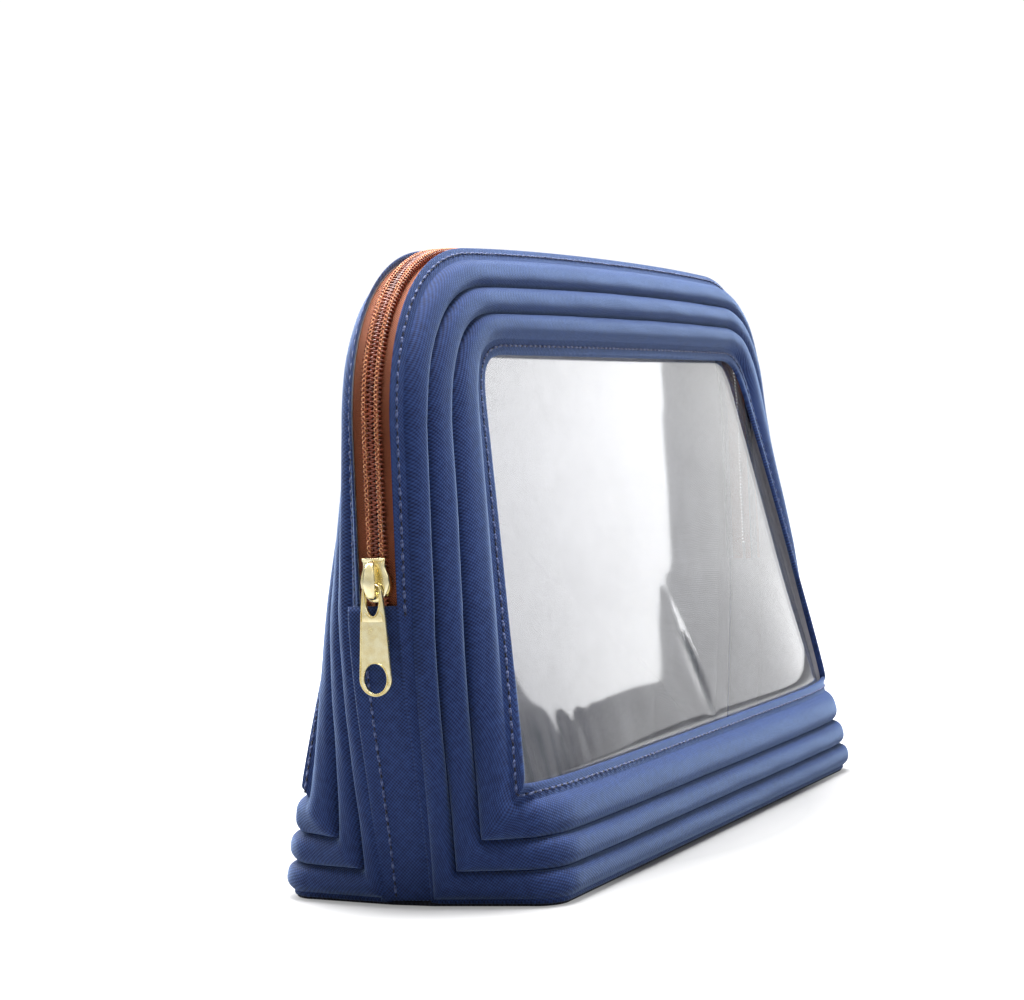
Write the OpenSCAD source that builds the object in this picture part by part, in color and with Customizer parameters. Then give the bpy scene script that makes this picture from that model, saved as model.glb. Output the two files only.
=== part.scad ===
// Travel case: two ribbed padded half shells, a clear front window and a zip over the top.
// X runs along the case, the window side faces -Y, the base stands on z = 0.

/* [Case] */
// Overall length of the base along X
base_length = 254; // [220:1:300]
// Depth of the base along Y
base_depth = 75; // [60:1:90]
// Height of the zip ridge above the ground
case_height = 163.5; // [150:0.5:180]
// Half length of the case at the straight part of the zip
side_reach = 142.5; // [136:0.5:150]
// Half width of the gap between the two shells where the zip runs
zip_gap = 5.5; // [5:0.1:7]
// Height at which the closed chain ends on each side
fold_height = 74; // [70:1:84]
// Largest angle at which the upper front folds open
fold_angle = 25; // [10:1:30]

/* [Shell] */
// Height of the padded ribs above the grooves
rib_height = 2.4; // [1.5:0.1:3.5]
// Thickness of the flat sewn margins
margin_thickness = 1.4; // [1:0.1:2]
// Thickness of the shell under the grooves
padding_thickness = 2.4; // [1.8:0.1:3]
// Height of the window's lower edge
window_bottom = 29; // [24:1:34]
// Height of the window's upper edge
window_top = 135.5; // [125:0.5:140]

/* [Zip] */
// Width of the slider at its wide end
slider_width = 8; // [8:0.1:9.6]
// Length of the pull tab from pivot to tip
pull_length = 26.6; // [20:0.2:30]
// Width of the pull tab near its tip
pull_width = 8.5; // [7:0.1:9]

/* [Hidden] */
$fn = 32;

// Samples along each stretch of half an outline, from the base centre to the top centre
n_base = 6;
n_bend = 4;
n_end = 3;
n_low = 7;
n_high = 5;
n_curve = 8;
n_top = 5;
i_side = n_base + n_bend + n_end;
i_fold = i_side + n_low;
i_curve = i_fold + n_high;
i_top = i_curve + n_curve;
i_last = i_top + n_top;
n_ring = 2 * i_last;

base_half = base_length / 2;
depth_half = base_depth / 2;
bend_radius = 8;
shell_floor = 1.3;
straight_low = 74;
straight_high = 116;
strip_base_x = base_half + 4;
fold_slope = tan(fold_angle + 1.5);
fold_start = 1;

function mix(a, b, t) = a * (1 - t) + b * t;
function bez(a, b, c, d, t) =
  a * pow(1 - t, 3) + 3 * b * pow(1 - t, 2) * t + 3 * c * (1 - t) * t * t + d * pow(t, 3);

// Half width of the zip outline below the straight part
low_side = [for (t = [0:0.05:1.001])
  bez([shell_floor, strip_base_x], [28, strip_base_x + 2.5],
    [50, side_reach], [straight_low, side_reach], min(t, 1))];
function low_x(z) = z >= straight_low ? side_reach : lookup(z, low_side);

// Points are [half width, depth from the zip plane, height]
function rim_low(t) = let(z = mix(shell_floor, fold_height, t)) [low_x(z), zip_gap, z];
function rim_high(t) = [side_reach, zip_gap, mix(fold_height, straight_high, t)];
function rim_curve(t) = bez(
  [side_reach, zip_gap, straight_high], [side_reach, zip_gap, straight_high + 24],
  [side_reach - 14.5, zip_gap, case_height - 3], [95, zip_gap, case_height - 1.5], t);
function rim_top(t) = bez(
  [95, zip_gap, case_height - 1.5], [65, zip_gap, case_height - 0.3],
  [30, zip_gap, case_height], [0, zip_gap, case_height], t);
function base_edge(t) = [mix(0, base_half - bend_radius, t), depth_half, shell_floor];
function base_bend(t) = [
  base_half - bend_radius + bend_radius * sin(90 * t),
  depth_half - bend_radius + bend_radius * cos(90 * t), shell_floor];
function base_end(t) = [
  mix(base_half, strip_base_x, t), mix(depth_half - bend_radius, zip_gap, t), shell_floor];

window_span = 106;
window_low_x = base_half + 2.5;
window_low_y = depth_half - 7.6;
function window_rise(z) = (min(max(z, window_bottom), 140) - window_bottom) / window_span;
window_taper = 26.5;
window_lean = 17.4;
function window_x(z) = window_low_x - window_taper * pow(window_rise(z), 1.05);
function window_y(z) = window_low_y - window_lean * pow(window_rise(z), 1.12);
function window_foot(x) = [x, window_low_y + 4.6 * (1 - pow(x / window_low_x, 6)), window_bottom];
function window_side(z) = [window_x(z), window_y(z), z];
top_corner_x = 88;
corner_start = 120;
function top_bow(x) = 2 * (1 - pow(min(x, 103) / 103, 2));
function window_curve(t) = let(q = bez(
    [window_x(corner_start), corner_start], [window_x(131), 131],
    [window_x(window_top) - 2, window_top - 0.2], [top_corner_x, window_top], t))
  [q[0], window_y(q[1]) + top_bow(q[0]), q[1]];
function window_head(x) = [x, window_y(window_top) + top_bow(x), window_top];

rim_rail = concat(
  [for (i = [0:n_base - 1]) base_edge(i / n_base)],
  [for (i = [0:n_bend - 1]) base_bend(i / n_bend)],
  [for (i = [0:n_end - 1]) base_end(i / n_end)],
  [for (i = [0:n_low - 1]) rim_low(i / n_low)],
  [for (i = [0:n_high - 1]) rim_high(i / n_high)],
  [for (i = [0:n_curve - 1]) rim_curve(i / n_curve)],
  [for (i = [0:n_top]) rim_top(i / n_top)]);
foot_bend_x = 110;
foot_end_x = 124;
window_rail = concat(
  [for (i = [0:n_base - 1]) window_foot(foot_bend_x * i / n_base)],
  [for (i = [0:n_bend - 1]) window_foot(mix(foot_bend_x, foot_end_x, i / n_bend))],
  [for (i = [0:n_end - 1]) window_foot(mix(foot_end_x, window_low_x, i / n_end))],
  [for (i = [0:n_low - 1]) window_side(mix(window_bottom, fold_height, i / n_low))],
  [for (i = [0:n_high - 1]) window_side(mix(fold_height, corner_start, i / n_high))],
  [for (i = [0:n_curve - 1]) window_curve(i / n_curve)],
  [for (i = [0:n_top]) window_head(mix(top_corner_x, 0, i / n_top))]);

function flip_x(p) = [-p[0], p[1], p[2]];
function wrap(i) = ((i % n_ring) + n_ring) % n_ring;
function rail_at(rail, i) = let(k = wrap(i)) k <= i_last ? rail[k] : flip_x(rail[n_ring - k]);

// How far the band between rim and window bulges out of a straight line
side_swell = 1.7;
function swell(i) = let(k = wrap(i), j = k <= i_last ? k : n_ring - k)
  j < i_side ? 1 : (j < i_fold ? mix(0.8, side_swell, (j - i_side) / n_low) : side_swell);
// Position of the sewn margin and of the grooves as fractions of the band's width
function lift(i) = let(k = wrap(i), j = k <= i_last ? k : n_ring - k)
  j < i_side ? 0 : (j < i_fold ? (j - i_side) / n_low : 1);
// 0 up to the top corner, 1 along the top edge
function crest(i) = let(k = wrap(i), j = k <= i_last ? k : n_ring - k)
  min(max((j - i_curve) / n_curve, 0), 1);
// The band's own scale, 0 at the rim and 1 at the window
function place(q, i) = let(w = lift(i), c = crest(i)) lookup(q, [
  [0, 0], [0.114, mix(0.02, 0.114, w)], [0.386, mix(0.27, mix(0.3, 0.386, c), w)],
  [0.643, mix(0.55, mix(0.56, 0.643, c), w)], [0.886, mix(0.89, 0.886, w)], [1, 1]]);

function chord_point(q, i) = mix(rail_at(rim_rail, i), rail_at(window_rail, i), place(q, i));
function chord_normal(q, i) = let(
  run = chord_point(q, i + 1) - chord_point(q, i - 1),
  across = rail_at(window_rail, i) - rail_at(rim_rail, i),
  n = cross(run, across))
  n / norm(n);
// Inwards at the rim itself: level along the base, square to the zip plane everywhere else
function rim_normal(i) = let(
  k = wrap(i), j = k <= i_last ? k : n_ring - k, n = chord_normal(0, i),
  flat = j < i_side ? [n[0], n[1], 0] : [n[0], 0, n[2]])
  flat / norm(flat);
rim_turn = 0.16;
function normal_at(q, i) = let(
  n = mix(rim_normal(i), chord_normal(q, i), min(q / rim_turn, 1)))
  n / norm(n);
function skin_at(q, i) = chord_point(q, i) - chord_normal(q, i) * swell(i) * sin(180 * place(q, i));
// The same point at a fractional place between two samples
function skin_between(q, i) = let(k = floor(i), f = i - k)
  f < 0.0001 ? skin_at(q, k) : mix(skin_at(q, k), skin_at(q, k + 1), f);
function normal_between(q, i) = let(k = floor(i), f = i - k)
  f < 0.0001 ? normal_at(q, k) : mix(normal_at(q, k), normal_at(q, k + 1), f);

function hump(q, a, b) = q <= a || q >= b ? 0 : 1 - pow(abs(2 * (q - a) / (b - a) - 1), 4);
function rib_at(q) = rib_height * max(hump(q, 0.114, 0.386), hump(q, 0.386, 0.643), hump(q, 0.643, 0.886));
function wall_at(q) = q < 0.08 || q > 0.88 ? margin_thickness : padding_thickness;
// A point moved inwards from the plain skin by d
function inset_point(q, i, d) = skin_between(q, i) + normal_between(q, i) * d;

band_steps = [0, 0.114, 0.15, 0.25, 0.35, 0.386, 0.42, 0.515, 0.61, 0.643, 0.675, 0.765, 0.855, 0.886, 1];

// Front is at -Y: a depth becomes a negative y, and the rear side is its mirror
function to_front(p) = [p[0], -p[1], p[2]];
function to_rear(p) = [p[0], p[1], p[2]];

// Sample number on the side at which the folded wedge ends, for a place on the band
function fold_row(q) = let(
  low = skin_at(q, i_fold), high = skin_at(q, i_curve),
  rise = fold_start + fold_slope * max(low[1] + rib_at(q) - zip_gap, 0))
  i_fold + n_high * rise / (high[2] - low[2]);

// Closed solid between an outer and an inner grid of points, both rows x cols
module slab(outer, inner, rows, cols) {
  n = rows * cols;
  quads = concat(
    [for (r = [0:rows - 2]) for (c = [0:cols - 2]) let(a = r * cols + c)
      each [[a, a + 1, a + cols + 1], [a, a + cols + 1, a + cols]]],
    [for (r = [0:rows - 2]) for (c = [0:cols - 2]) let(a = n + r * cols + c)
      each [[a, a + cols + 1, a + 1], [a, a + cols, a + cols + 1]]],
    [for (r = [0:rows - 2]) let(a = r * cols)
      each [[a, a + cols, n + a + cols], [a, n + a + cols, n + a]]],
    [for (r = [0:rows - 2]) let(a = r * cols + cols - 1)
      each [[a, n + a + cols, a + cols], [a, n + a, n + a + cols]]],
    [for (c = [0:cols - 2]) each [[c, n + c + 1, c + 1], [c, n + c, n + c + 1]]],
    [for (c = [0:cols - 2]) let(a = (rows - 1) * cols + c)
      each [[a, a + 1, n + a + 1], [a, n + a + 1, n + a]]]);
  polyhedron(points = concat(outer, inner), faces = quads, convexity = 8);
}

function outer_point(q, i) = inset_point(q, i, -rib_at(q));
function inner_point(q, i) = inset_point(q, i, wall_at(q));

// Rows of sample numbers: the lower front, the two folds and the upper front
lower_rows = [for (i = [-i_fold:i_fold]) i];
fold_gap = 0.015;
function fold_place(q, t) = mix(i_fold + fold_gap, fold_row(q) - fold_gap, t);
function upper_place(q, r) = r <= n_high
  ? mix(fold_row(q), i_curve, r / n_high)
  : (r <= n_high + n_ring - 2 * i_curve
    ? i_curve + r - n_high
    : n_ring - mix(i_curve, fold_row(q), (r - n_high - n_ring + 2 * i_curve) / n_high));
n_upper = 2 * n_high + n_ring - 2 * i_curve + 1;
n_steps = len(band_steps);

// The clear pane: c runs from -1 to 1 across, i is the sample number of the row
pane_edge_q = 0.93;
pane_inset = 2.3;
pane_thickness = 0.5;
pane_columns = [for (c = [-6:6]) sin(15 * c)];
function pane_power(i) = i < i_fold ? mix(6, 2.2, (i - i_side) / n_low) : 2.2;
function pane_bow(i) = i < i_fold ? mix(4.6, 4.5, (i - i_side) / n_low)
  : mix(4.5, 0.9, (i - i_fold) / (i_top - i_fold));
function pane_point(c, i, d) = let(b = inset_point(pane_edge_q, i, pane_inset))
  [b[0] * c * (1 - d * 0.004), b[1] - d + pane_bow(i) * (1 - pow(abs(c), pane_power(i))), b[2]];
function pane_fold(c) = let(
  low = pane_point(c, i_fold, 0), high = pane_point(c, i_curve, 0),
  rise = fold_start + fold_slope * (low[1] - zip_gap))
  i_fold + n_high * rise / (high[2] - low[2]);

// The rear panel carries on from the band to the middle, bowed out like the clear pane
panel_steps = [0.12, 0.45, 0.75];
panel_z = 82;
panel_wall = 2.4;
function panel_bow(z) = z < fold_height
  ? mix(4.6, 4.5, (z - window_bottom) / (fold_height - window_bottom))
  : mix(4.5, 2, (z - fold_height) / (window_top - fold_height));
function panel_power(z) = z < fold_height
  ? mix(6, 2.2, (z - window_bottom) / (fold_height - window_bottom))
  : 2.2;
function panel_depth(x, z) = window_y(z)
  + panel_bow(z) * (1 - pow(min(abs(x) / window_x(z), 1), panel_power(z)));
function panel_at(f, i) = let(
  edge = rail_at(window_rail, i), x = edge[0] * (1 - f), z = mix(edge[2], panel_z, f))
  [x, panel_depth(x, z) + (edge[1] - panel_depth(edge[0], edge[2])) * (1 - f), z];
panel_centre = [0, panel_depth(0, panel_z), panel_z];
function panel_normal(f, i) = mix(normal_at(1, i), [0, -1, 0], min(3 * f, 1));
function panel_inset(f, i, d) = panel_at(f, i) + panel_normal(f, i) * d;

// Closed shell of rings, filled in the middle by one centre point on each face
module bowl(outer, inner, rings, cols, outer_mid, inner_mid) {
  n = rings * cols;
  mid = 2 * n;
  quads = concat(
    [for (r = [0:rings - 2]) for (c = [0:cols - 1]) let(a = r * cols + c, b = r * cols + (c + 1) % cols)
      each [[a, b, b + cols], [a, b + cols, a + cols]]],
    [for (r = [0:rings - 2]) for (c = [0:cols - 1])
      let(a = n + r * cols + c, b = n + r * cols + (c + 1) % cols)
      each [[a, b + cols, b], [a, a + cols, b + cols]]],
    [for (c = [0:cols - 1]) let(a = (rings - 1) * cols + c, b = (rings - 1) * cols + (c + 1) % cols)
      each [[a, b, mid], [n + b, n + a, mid + 1]]],
    [for (c = [0:cols - 1]) let(b = (c + 1) % cols)
      each [[c, n + b, b], [c, n + c, n + b]]]);
  polyhedron(points = concat(outer, inner, [outer_mid, inner_mid]), faces = quads, convexity = 8);
}

// Solid of rows of closed sections, capped at both ends
module tube(points, rows, cols) {
  last = (rows - 1) * cols;
  quads = concat(
    [for (r = [0:rows - 2]) for (c = [0:cols - 1]) let(a = r * cols + c, b = r * cols + (c + 1) % cols)
      each [[a, b, b + cols], [a, b + cols, a + cols]]],
    [for (c = [1:cols - 2]) [0, c + 1, c]],
    [for (c = [1:cols - 2]) [last, last + c, last + c + 1]]);
  polyhedron(points = points, faces = quads, convexity = 8);
}

// The zip's path along the rim and the outward direction on it
function path_half(j) = let(
  a = rim_rail[max(j - 1, i_side)], b = rim_rail[min(j + 1, i_last)], d = b - a, l = norm([d[0], d[2]]))
  [rim_rail[j][0], rim_rail[j][2], d[2] / l, -d[0] / l];
function path_whole(i) = i <= i_last ? path_half(i)
  : let(p = path_half(n_ring - i)) [-p[0], p[1], -p[2], p[3]];
function path_at(i) = let(k = floor(i), f = i - k)
  f < 0.0001 ? path_whole(k) : mix(path_whole(k), path_whole(k + 1), f);
function along(i, y, h) = let(p = path_at(i)) [p[0] + p[2] * h, y, p[1] + p[3] * h];
function path_rows(first) = let(second = ceil(first + 0.01))
  concat([first], [for (i = [second:n_ring - second]) i], [n_ring - first]);

module strap(rows, section) {
  tube([for (i = rows) for (s = section) along(i, s[0], s[1])], len(rows), len(section));
}
function box_section(y0, y1, h0, h1) = [[y0, h0], [y0, h1], [y1, h1], [y1, h0]];

tape_inner = 1;
tape_outer = 5.2;
tape_top = -1.65;
tape_bottom = -2.25;
tape_first = i_fold - 0.4;
coil_y = 2;
coil_r = 0.9;
coil_h = -0.7;
coil_first = i_fold + 0.16;
function coil_section(y) = [for (a = [0:45:315]) [y + coil_r * cos(a), coil_h - coil_r * sin(a)]];
strip_half = 5.2;
strip_thickness = 1.2;
strip_first = i_side + 0.01;
strip_last = i_fold - 0.26;
binding_inner = 3.6;
binding_outer = 4.9;
binding_top = -3.9;
binding_bottom = -6.3;
binding_first = i_side + 0.7;

module rear_shell() {
  color([0.16, 0.22, 0.42])
  bowl(
    concat([for (q = band_steps) for (i = [0:n_ring - 1]) to_rear(outer_point(q, i))],
      [for (f = panel_steps) for (i = [0:n_ring - 1]) to_rear(panel_at(f, i))]),
    concat([for (q = band_steps) for (i = [0:n_ring - 1]) to_rear(inner_point(q, i))],
      [for (f = panel_steps) for (i = [0:n_ring - 1]) to_rear(panel_inset(f, i, panel_wall))]),
    n_steps + len(panel_steps), n_ring,
    panel_centre, panel_centre - [0, panel_wall, 0]);
}

lining_steps = [0.29, 0.335, 0.386, 0.515, 0.643, 0.765, 0.886];
lining_gap = 0.8;
lining_thickness = 0.8;
function lining_point(q, i, d) = inset_point(q, i, padding_thickness + lining_gap + d);
module rear_lining() {
  deep = panel_wall + lining_gap;
  color([0.72, 0.72, 0.74])
  bowl(
    concat([for (q = lining_steps) for (i = [0:n_ring - 1]) to_rear(lining_point(q, i, 0))],
      [for (f = panel_steps) for (i = [0:n_ring - 1]) to_rear(panel_at(f, i) - [0, deep, 0])]),
    concat([for (q = lining_steps) for (i = [0:n_ring - 1]) to_rear(lining_point(q, i, lining_thickness))],
      [for (f = panel_steps) for (i = [0:n_ring - 1])
        to_rear(panel_at(f, i) - [0, deep + lining_thickness, 0])]),
    len(lining_steps) + len(panel_steps), n_ring,
    panel_centre - [0, deep, 0], panel_centre - [0, deep + lining_thickness, 0]);
}

module front_shell_lower() {
  color([0.16, 0.22, 0.42])
  slab(
    [for (i = lower_rows) for (q = band_steps) to_front(outer_point(q, i))],
    [for (i = lower_rows) for (q = band_steps) to_front(inner_point(q, i))],
    len(lower_rows), n_steps);
}

module fold_side() {
  slab(
    [for (t = [0:0.5:1]) for (q = band_steps) to_front(outer_point(q, fold_place(q, t)))],
    [for (t = [0:0.5:1]) for (q = band_steps) to_front(inner_point(q, fold_place(q, t)))],
    3, n_steps);
}

module front_fold() {
  color([0.16, 0.22, 0.42]) {
    fold_side();
    mirror([1, 0, 0]) fold_side();
  }
}

module front_shell_upper() {
  color([0.16, 0.22, 0.42])
  slab(
    [for (r = [0:n_upper - 1]) for (q = band_steps) to_front(outer_point(q, upper_place(q, r)))],
    [for (r = [0:n_upper - 1]) for (q = band_steps) to_front(inner_point(q, upper_place(q, r)))],
    n_upper, n_steps);
}

module pane(starts, stops, rows) {
  slab(
    [for (r = [0:rows - 1]) for (k = [0:len(pane_columns) - 1])
      to_front(pane_point(pane_columns[k], mix(starts[k], stops[k], r / (rows - 1)), 0))],
    [for (r = [0:rows - 1]) for (k = [0:len(pane_columns) - 1])
      to_front(pane_point(pane_columns[k], mix(starts[k], stops[k], r / (rows - 1)), pane_thickness))],
    rows, len(pane_columns));
}
function each_column(v) = [for (c = pane_columns) v];
pane_rise = [for (c = pane_columns) pane_fold(c)];
pane_cut_low = [for (v = pane_rise) v - fold_gap];
fold_row_low = i_fold + fold_gap;

module window_lower() {
  color([0.85, 0.88, 0.9, 0.35]) pane(each_column(i_side), each_column(i_fold), 8);
}
module window_fold() {
  color([0.85, 0.88, 0.9, 0.35]) pane(each_column(fold_row_low), pane_cut_low, 3);
}
module window_upper() {
  color([0.85, 0.88, 0.9, 0.35]) pane(pane_rise, each_column(i_top), 13);
}

strip_rows = [for (k = [0:7]) mix(strip_first, strip_last, k / 7)];
module gusset_left() {
  color([0.16, 0.22, 0.42])
  strap([for (i = strip_rows) n_ring - i], box_section(strip_half, -strip_half, -strip_thickness, 0));
}
module gusset_right() {
  color([0.16, 0.22, 0.42])
  strap(strip_rows, box_section(-strip_half, strip_half, -strip_thickness, 0));
}

// Plan of the base, drawn smaller by the given inset
function plan_quarter(inset) = let(r = bend_radius - min(inset, bend_radius - 2),
  cx = base_half - inset - r, cy = depth_half - inset - r)
  concat([[strip_base_x - inset, 0], [strip_base_x - inset, zip_gap]],
    [for (a = [0:15:90]) [cx + r * cos(a), cy + r * sin(a)]]);
function turned(points) = [for (k = [len(points) - 1:-1:0]) points[k]];
module base_plan(inset) {
  quarter = plan_quarter(inset);
  polygon(concat(quarter, turned([for (p = quarter) [-p[0], p[1]]]),
    [for (p = quarter) [-p[0], -p[1]]], turned([for (p = quarter) [p[0], -p[1]]])));
}

cover_inset = 0.6;
cover_thickness = 1.2;
board_inset = 6;
board_bottom = 1.4;
board_thickness = 2.5;
base_lining_bottom = 4;
base_lining_thickness = 0.8;
module base_cover() {
  color([0.1, 0.11, 0.16]) linear_extrude(cover_thickness) base_plan(cover_inset);
}
module base_board() {
  color([0.6, 0.55, 0.45])
  translate([0, 0, board_bottom]) linear_extrude(board_thickness) base_plan(board_inset);
}
module base_lining() {
  color([0.72, 0.72, 0.74])
  translate([0, 0, base_lining_bottom]) linear_extrude(base_lining_thickness) base_plan(board_inset);
}

module zip_tape_rear() {
  color([0.6, 0.27, 0.15])
  strap(path_rows(tape_first), box_section(tape_inner, tape_outer, tape_bottom, tape_top));
}
module zip_tape_front() {
  color([0.6, 0.27, 0.15])
  strap(path_rows(tape_first), box_section(-tape_outer, -tape_inner, tape_bottom, tape_top));
}
module zip_coil_rear() {
  color([0.66, 0.3, 0.16]) strap(path_rows(coil_first), coil_section(coil_y));
}
module zip_coil_front() {
  color([0.66, 0.3, 0.16]) strap(path_rows(coil_first), coil_section(-coil_y));
}
module seam_binding_rear() {
  color([0.12, 0.13, 0.2])
  strap(path_rows(binding_first), box_section(binding_inner, binding_outer, binding_bottom, binding_top));
}
module seam_binding_front() {
  color([0.12, 0.13, 0.2])
  strap(path_rows(coil_first), box_section(-binding_outer, -binding_inner, binding_bottom, binding_top));
}

// Small crimped end pieces under the ends of both coils, on both sides of the case
stop_bottom = fold_height - 1.2;
stop_height = 1.7;
stop_width = 1.9;
stop_depth = 1.2;
module zip_stops() {
  color([0.83, 0.74, 0.5])
  for (sx = [-1, 1]) for (sy = [-1, 1])
    translate([sx * (side_reach - 0.9), sy * coil_y, stop_bottom + stop_height / 2])
      cube([stop_depth, stop_width, stop_height], center = true);
}

// The slider stands on the straight stretch at -X; its local frame has z up the zip and x outwards
slider_low = fold_height + 1.2;
slider_length = 11;
slider_tail = 6.2;
plate_low = 0.55;
plate_high = 1.55;
back_high = -2.6;
back_low = -3.5;
post_half = 0.8;
flange_thickness = 0.9;
flange_foot = -1.3;
module at_slider() {
  translate([-side_reach, 0, slider_low]) mirror([1, 0, 0]) children();
}
// Outline of the slider seen from outside, wide end down, as y and z
module slider_outline() {
  half = slider_width / 2;
  tail = slider_tail / 2;
  polygon([[-half + 1, 0], [half - 1, 0], [half, 1], [half, 4.5], [tail, 8.5], [tail, slider_length - 0.8],
    [tail - 0.8, slider_length], [-tail + 0.8, slider_length], [-tail, slider_length - 0.8], [-tail, 8.5],
    [-half, 4.5], [-half, 1]]);
}
// Stands a y-z outline up and gives it thickness along x
module plate(x0, x1) {
  translate([x0, 0, 0]) rotate([90, 0, 90]) linear_extrude(x1 - x0) children();
}
module slider_body() {
  half = slider_width / 2;
  color([0.86, 0.78, 0.55])
  at_slider() {
    plate(plate_low, plate_high) slider_outline();
    plate(back_low, back_high) slider_outline();
    plate(back_high - 0.2, plate_low + 0.2)
      polygon([[-post_half, 0.6], [post_half, 0.6], [post_half, 3.4], [0, 5.2], [-post_half, 3.4]]);
    for (s = [-1, 1])
      plate(flange_foot, plate_low + 0.2)
        translate([s > 0 ? half - flange_thickness : -half, 1]) square([flange_thickness, 3.5]);
  }
}

// The bridge over the slider's face that holds the pull
crown_low = 1.2;
crown_top = 10.4;
crown_half = 1.1;
crown_roof = 4.9;
slot_low = 2.9;
slot_high = 8.9;
slot_roof = 3.75;
crown_base = plate_high + 0.05;
module slider_crown() {
  color([0.88, 0.8, 0.57])
  at_slider()
    translate([0, crown_half, 0]) rotate([90, 0, 0]) linear_extrude(2 * crown_half)
      polygon([[crown_base, crown_low], [slot_roof - 0.3, crown_low], [crown_roof, crown_low + 1.5],
        [crown_roof, crown_top - 1.8], [slot_roof - 0.1, crown_top], [crown_base, crown_top],
        [crown_base, slot_high], [slot_roof - 0.7, slot_high], [slot_roof, slot_high - 0.8],
        [slot_roof, slot_low + 0.1], [slot_roof - 0.1, slot_low], [crown_base, slot_low]]);
}

// The tab hangs from a round bar that lies in the crown's slot
pivot_z = 4.3;
pivot_x = 2.75;
bar_r = 0.75;
tab_thickness = 1.2;
tab_top_half = 3.05;
eye_half = 1.75;
eye_far = 5.8;
tip_r = pull_width / 2;
tip_z = tip_r - pull_length;
hole_r = 2.95;
hole_rise = 0.75;
hole_drop = 0.4;
recess_depth = 0.25;
recess_half = 2.3;
recess_gap = 5.4;
recess_length = 7.2;
module tab_plan() {
  difference() {
    union() {
      polygon([[-tab_top_half, -0.2], [tab_top_half, -0.2], [tab_top_half, -6.5], [tip_r, tip_z],
        [-tip_r, tip_z], [-tab_top_half, -6.5]]);
      translate([0, tip_z]) circle(tip_r);
    }
    translate([-eye_half, -eye_far + eye_half]) square([2 * eye_half, eye_far - eye_half - bar_r * 0.6]);
    translate([0, -eye_far + eye_half]) circle(eye_half);
    translate([0, tip_z + hole_rise]) circle(hole_r);
    translate([0, tip_z - hole_drop]) circle(hole_r);
    translate([-hole_r, tip_z - hole_drop]) square([2 * hole_r, hole_rise + hole_drop]);
  }
}
module pull_tab() {
  color([0.88, 0.8, 0.57])
  at_slider() translate([pivot_x, 0, pivot_z]) {
    difference() {
      plate(-tab_thickness / 2, tab_thickness / 2) tab_plan();
      translate([tab_thickness / 2 - recess_depth, -recess_half, tip_z + recess_gap])
        cube([1, 2 * recess_half, recess_length]);
    }
    rotate([90, 0, 0]) cylinder(r = bar_r, h = 2 * tab_top_half, center = true);
  }
}

rear_shell();
rear_lining();
front_shell_lower();
front_fold();
front_shell_upper();
window_lower();
window_fold();
window_upper();
gusset_left();
gusset_right();
base_cover();
base_board();
base_lining();
zip_tape_rear();
zip_tape_front();
zip_coil_rear();
zip_coil_front();
seam_binding_rear();
seam_binding_front();
zip_stops();
slider_body();
slider_crown();
pull_tab();
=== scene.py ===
"""Looks of the travel jewelry case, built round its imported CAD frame.

The two shells are lofted between the rim outline and the window outline, like the CAD solids,
but with fine ribs, rolled edges, stitches, a real coil zip and a soft clear pane.
Everything is worked out in millimetres and turned into metres when a mesh is made.
"""

import math

import bpy
import numpy as np
from mathutils import Matrix, Vector
from mathutils.geometry import tessellate_polygon


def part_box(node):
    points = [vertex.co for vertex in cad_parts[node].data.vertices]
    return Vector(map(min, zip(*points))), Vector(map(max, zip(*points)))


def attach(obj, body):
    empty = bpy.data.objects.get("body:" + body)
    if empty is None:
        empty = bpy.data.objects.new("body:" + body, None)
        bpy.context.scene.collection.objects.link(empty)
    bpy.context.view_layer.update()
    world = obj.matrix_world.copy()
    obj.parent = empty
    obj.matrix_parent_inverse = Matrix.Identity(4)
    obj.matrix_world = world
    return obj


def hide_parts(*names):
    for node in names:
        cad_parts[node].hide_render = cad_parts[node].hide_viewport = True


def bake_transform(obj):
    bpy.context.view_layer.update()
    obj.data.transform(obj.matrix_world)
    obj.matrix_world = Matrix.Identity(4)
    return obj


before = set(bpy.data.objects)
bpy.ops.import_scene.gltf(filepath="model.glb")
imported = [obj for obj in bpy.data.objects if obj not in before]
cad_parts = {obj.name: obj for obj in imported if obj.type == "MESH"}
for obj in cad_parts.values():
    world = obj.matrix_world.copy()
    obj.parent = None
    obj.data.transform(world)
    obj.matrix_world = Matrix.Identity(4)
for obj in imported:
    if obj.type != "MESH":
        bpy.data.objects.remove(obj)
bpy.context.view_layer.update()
MM = 0.001


# ---------------------------------------------------------------- sizes read from the frame, in mm
def cad(node):
    """Lowest and highest corner of a CAD node in millimetres."""
    low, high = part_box(node)
    return np.array(low) / MM, np.array(high) / MM


COVER_HIGH = cad("base_cover")[1]
LINING_LOW, LINING_HIGH = cad("base_lining")
TAB_LOW, TAB_HIGH = cad("pull_tab")
STOP_LOW, STOP_HIGH = cad("zip_stops")
SLIDER_Z = cad("slider_body")[0][2]  # lower end of the slider

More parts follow.
